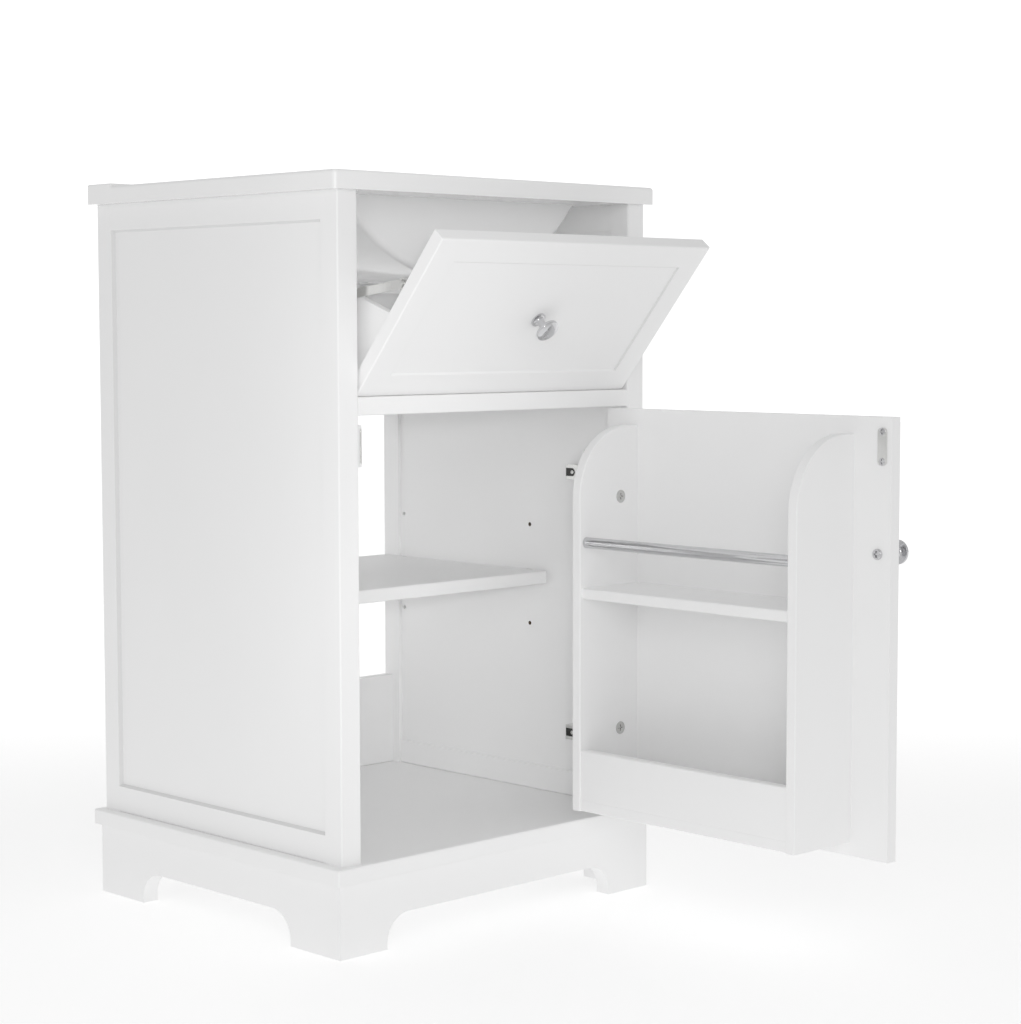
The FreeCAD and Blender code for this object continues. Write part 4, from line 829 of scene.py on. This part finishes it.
def paint_slot_shadow(arm, fixing, trim):
    """Paint shadow inside a hinge arm's slot: almost black steel on its floor and walls."""
    reach = trim.slot_width / 2 + PLATED_RIM

    def in_slot(face):
        depth, behind, above = face.center - fixing
        beside = abs(above) < reach and behind > -reach
        return beside and PLATED_RIM < depth < trim.slot_floor + LEVEL

    paint_faces(arm, "phosphated_steel", in_slot)


class VANITY_OT_hinges(bpy.types.Operator):
    """Plate the concealed hinges and screw them to wall and door"""

    bl_idname = "vanity.hinges"
    bl_label = "Hinges"

    def execute(self, context):
        trim = context.scene.vanity_trim
        edge = context.scene.vanity_finish.metal_edge
        dress(nodes_named("hinge_plate", "hinge_link", "hinge_cup"), "plated", edge)
        plate_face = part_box("hinge_plate_upper")[0][0]
        screws = shut_boxes("hinge_screws")
        plate_seats = []
        for low, high in screws:
            seat = Vector((plate_face, (low.y + high.y) / 2, (low.z + high.z) / 2))
            plate_seats.append((seat, LEFTWARDS))
        low, high = screws[0]
        add_screws("cross_head_hinge_plates", plate_seats, (high.z - low.z) / 2, plate_face - low.x,
                   "cabinet", "nickel_steel", ["hinge_screws"])
        arm_seats = []
        cup_seats = []
        for name in ("upper", "lower"):
            node = f"hinge_arm_{name}"
            low, high = shut_boxes(node)[0]
            face = plate_face - trim.arm_thick
            fixing = Vector((face, high.y - trim.fixing_inset, (low.z + high.z) / 2))
            adjusting = Vector((face, high.y - trim.adjusting_inset, fixing.z))
            arm_seats += [(fixing + RIGHTWARDS * trim.slot_floor, LEFTWARDS), (adjusting, LEFTWARDS)]
            bm = merged_copy(node)
            widen_slot(bm, fixing, trim)
            # The slot's floor and walls get painted shadow: almost black steel.
            paint_slot_shadow(stand_in(node, bm, "plated", edge), fixing, trim)
            low, high = shut_boxes(f"hinge_cup_{name}")[0]
            for side in (-0.5, 0.5):
                level = (low.z + high.z) / 2 + side * trim.cup_pitch
                cup_seats.append((Vector(((low.x + high.x) / 2, high.y, level)), BACKWARDS))
        add_screws("cross_head_hinge_arms", arm_seats, trim.arm_screw, trim.slot_floor + trim.flush_rise,
                   "cabinet", "nickel_steel")
        add_screws("cross_head_hinge_cups", cup_seats, trim.small_screw, trim.small_rise, "door",
                   "nickel_steel")
        return {"FINISHED"}


class VANITY_OT_stays(bpy.types.Operator):
    """Plate the flap's stays, studs and pivots, and screw the brackets to the flap"""

    bl_idname = "vanity.stays"
    bl_label = "Stays"

    def execute(self, context):
        trim = context.scene.vanity_trim
        edge = context.scene.vanity_finish.metal_edge
        dress(nodes_named("stay_"), "plated", edge)
        dress(["flap_pivot_pins"], "chromed", edge)
        seats = []
        for side, outward in (("left", -1), ("right", 1)):
            low, high = shut_boxes(f"stay_bracket_{side}")[0]
            inner = low.x if outward > 0 else high.x
            for level in (low.z + trim.bracket_inset, high.z - trim.bracket_inset):
                seat = Vector((inner + outward * trim.bracket_inset, low.y + trim.bracket_thick, level))
                seats.append((seat, BACKWARDS))
        add_screws("cross_head_stay_brackets", seats, trim.small_screw, trim.small_rise, "flap",
                   "nickel_steel")
        return {"FINISHED"}


class VANITY_OT_catch(bpy.types.Operator):
    """Fit the magnetic catch and its strike plate"""

    bl_idname = "vanity.catch"
    bl_label = "Catch"

    def execute(self, context):
        trim = context.scene.vanity_trim
        edge = context.scene.vanity_finish.metal_edge
        dress(["catch_housing"], "moulded", edge)
        dress(["catch_poles", "strike_plate"], "plated", edge)
        screws = shut_boxes("strike_screws")
        strike_seats = []
        for low, high in screws:
            seat = Vector(((low.x + high.x) / 2, low.y, (low.z + high.z) / 2))
            strike_seats.append((seat, BACKWARDS))
        low, high = screws[0]
        add_screws("cross_head_strike", strike_seats, trim.strike_screw,
                   high.y - low.y + trim.flush_rise, "door", SLOT_OF["strike_screws"], ["strike_screws"])
        low, high = shut_boxes("catch_housing")[0]
        middle = (low + high) / 2
        catch_seats = []
        for side in (-0.5, 0.5):
            seat = Vector((high.x, middle.y, middle.z + side * trim.catch_pitch))
            catch_seats.append((seat, RIGHTWARDS))
        add_screws("cross_head_catch", catch_seats, trim.small_screw, trim.small_rise, "cabinet",
                   "nickel_steel")
        return {"FINISHED"}


class VANITY_OT_shelf_supports(bpy.types.Operator):
    """Plate the angle supports that carry the shelf"""

    bl_idname = "vanity.shelf_supports"
    bl_label = "Shelf Supports"

    def execute(self, context):
        dress(["shelf_supports"], "plated", context.scene.vanity_finish.metal_edge)
        return {"FINISHED"}


def aim_camera(stage):
    """Stand the camera where the photograph was taken. Returns the way it looks."""
    forward = Vector((
        math.sin(stage.heading) * math.cos(stage.dip),
        math.cos(stage.heading) * math.cos(stage.dip),
        -math.sin(stage.dip),
    ))
    right = Vector((math.cos(stage.heading), -math.sin(stage.heading), 0))
    turn = Matrix((right, right.cross(forward), -forward)).transposed().to_4x4()
    data = bpy.data.cameras.new("camera")
    data.lens = stage.lens
    data.sensor_width = SENSOR_WIDTH
    camera = bpy.data.objects.new("camera", data)
    bpy.context.scene.collection.objects.link(camera)
    camera.matrix_world = Matrix.Translation(stage.eye) @ turn @ Matrix.Rotation(stage.roll, 4, "Z")
    bpy.context.scene.camera = camera
    return forward


def add_light(name, kind, spot, aim, power):
    """A light that points from its spot at its aim. Returns its data."""
    data = bpy.data.lights.new(name, kind)
    data.energy = power
    light = bpy.data.objects.new(name, data)
    bpy.context.scene.collection.objects.link(light)
    light.location = spot
    light.rotation_euler = (Vector(aim) - Vector(spot)).to_track_quat("-Z", "Y").to_euler()
    return data


def inside_aims():
    """Middles of the bay behind the flap and of the cupboard above and below its shelf."""
    shelf_low, shelf_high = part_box("shelf")
    floor_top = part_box("floor_board")[1][2]
    rail_low, rail_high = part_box("mid_rail")
    middle = (Vector(shelf_low) + Vector(shelf_high)) / 2
    levels = {
        "snoot_bowl": (rail_high[2] + CAD_BOX[1][2]) / 2,
        "snoot_upper": (shelf_high[2] + rail_low[2]) / 2,
        "snoot_lower": (floor_top + shelf_low[2]) / 2,
    }
    return {name: Vector((middle.x + LAMPS_ASIDE, middle.y, level)) for name, level in levels.items()}


def back_levels():
    """Heights of the open back's middle, above and below the shelf."""
    shelf_low, shelf_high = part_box("shelf")
    return {
        "back_upper": (shelf_high[2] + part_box("upper_back_panel")[0][2]) / 2,
        "back_lower": (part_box("lower_back_rail")[1][2] + shelf_low[2]) / 2,
    }


def build_room(stage, forward):
    """A grey studio with a white backdrop behind the unit."""
    world = bpy.data.worlds.new("studio")
    bpy.context.scene.world = world
    world.use_nodes = True
    tree = world.node_tree
    tree.nodes.clear()
    way = add_node(tree, "ShaderNodeTexCoord").outputs["Generated"]
    facing = add_node(tree, "ShaderNodeVectorMath", {"operation": "DOT_PRODUCT"}, {0: way, 1: forward})
    strength = add_node(tree, "ShaderNodeMapRange", {"interpolation_type": "SMOOTHSTEP"}, {
        "Value": facing.outputs["Value"], "From Min": BACKDROP_EDGE[0], "From Max": BACKDROP_EDGE[1],
        "To Min": stage.room, "To Max": stage.backdrop})
    shell = add_node(tree, "ShaderNodeBackground", inputs={
        "Color": (1, 1, 1, 1), "Strength": strength.outputs["Result"]})
    add_node(tree, "ShaderNodeOutputWorld", inputs={"Surface": shell.outputs["Background"]})


def add_lamp(name, spot, aim, power, beam):
    """A narrow lamp whose beam fades to its edge."""
    lamp = add_light(name, "SPOT", spot, aim, power)
    lamp.spot_size = beam
    lamp.spot_blend = 1
    lamp.shadow_soft_size = LAMP_RADIUS


def light_studio(stage):
    """One wide light above the camera, narrow lamps beside it that light up the insides, and two
    behind the unit that light the far inside wall through the open back."""
    middle = (Vector(CAD_BOX[0]) + Vector(CAD_BOX[1])) / 2
    add_light("fill_light", "AREA", stage.fill_spot, middle, stage.fill_power).size = stage.fill_width
    low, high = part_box("side_panel_left")
    wall_middle = (Vector(low) + Vector(high)) / 2
    for name, level in back_levels().items():
        spot = Vector((*stage.back_spot, level))
        aim = Vector((*wall_middle.xy, level))
        add_lamp(name, spot, aim, stage.back_power, stage.back_beam)
    for (name, aim), power in zip(inside_aims().items(), stage.snoot_power):
        add_lamp(name, stage.snoot_spot, aim, power, stage.snoot_beam)


class VANITY_OT_stage(bpy.types.Operator):
    """Set the camera, the floor and the lights"""

    bl_idname = "vanity.stage"
    bl_label = "Studio"

    def execute(self, context):
        stage = context.scene.vanity_stage
        forward = aim_camera(stage)
        build_room(stage, forward)
        light_studio(stage)
        context.scene.view_settings.view_transform = "Standard"
        context.scene.view_settings.gamma = stage.lift
        bm = bmesh.new()
        bmesh.ops.create_grid(bm, x_segments=1, y_segments=1, size=stage.floor_width / 2)
        mesh = bpy.data.meshes.new("studio_floor")
        bm.to_mesh(mesh)
        bm.free()
        mesh.materials.append(light_table(stage, forward))
        floor = bpy.data.objects.new("studio_floor", mesh)
        context.scene.collection.objects.link(floor)
        return {"FINISHED"}


OPERATORS = (
    VANITY_OT_carcass, VANITY_OT_mouldings, VANITY_OT_sink, VANITY_OT_flap, VANITY_OT_door,
    VANITY_OT_knobs, VANITY_OT_hinges, VANITY_OT_stays, VANITY_OT_catch, VANITY_OT_shelf_supports,
    VANITY_OT_stage,
)


class VANITY_PT_build(bpy.types.Panel):
    """Lists the pieces of the vanity unit and their settings"""

    bl_idname = "VANITY_PT_build"
    bl_label = "Vanity Unit"
    bl_space_type = "VIEW_3D"
    bl_region_type = "UI"
    bl_category = "Vanity"

    def draw(self, context):
        scene = context.scene
        for group in (scene.vanity_finish, scene.vanity_trim, scene.vanity_stage):
            box = self.layout.box()
            for name in group.bl_rna.properties.keys():
                if name not in ("rna_type", "name"):
                    box.prop(group, name)
        for operator in OPERATORS:
            self.layout.operator(operator.bl_idname)


CLASSES = (VanityFinish, VanityTrim, VanityStage, *OPERATORS, VANITY_PT_build)


def register():
    for item in CLASSES:
        bpy.utils.register_class(item)
    bpy.types.Scene.vanity_finish = bpy.props.PointerProperty(type=VanityFinish)
    bpy.types.Scene.vanity_trim = bpy.props.PointerProperty(type=VanityTrim)
    bpy.types.Scene.vanity_stage = bpy.props.PointerProperty(type=VanityStage)


def unregister():
    del bpy.types.Scene.vanity_stage
    del bpy.types.Scene.vanity_trim
    del bpy.types.Scene.vanity_finish
    for item in reversed(CLASSES):
        bpy.utils.unregister_class(item)


def main():
    register()
    bpy.ops.vanity.carcass()
    bpy.ops.vanity.mouldings()
    bpy.ops.vanity.sink()
    bpy.ops.vanity.flap()
    bpy.ops.vanity.door()
    bpy.ops.vanity.knobs()
    bpy.ops.vanity.hinges()
    bpy.ops.vanity.stays()
    bpy.ops.vanity.catch()
    bpy.ops.vanity.shelf_supports()
    bpy.ops.vanity.stage()


if __name__ == "__main__":
    main()
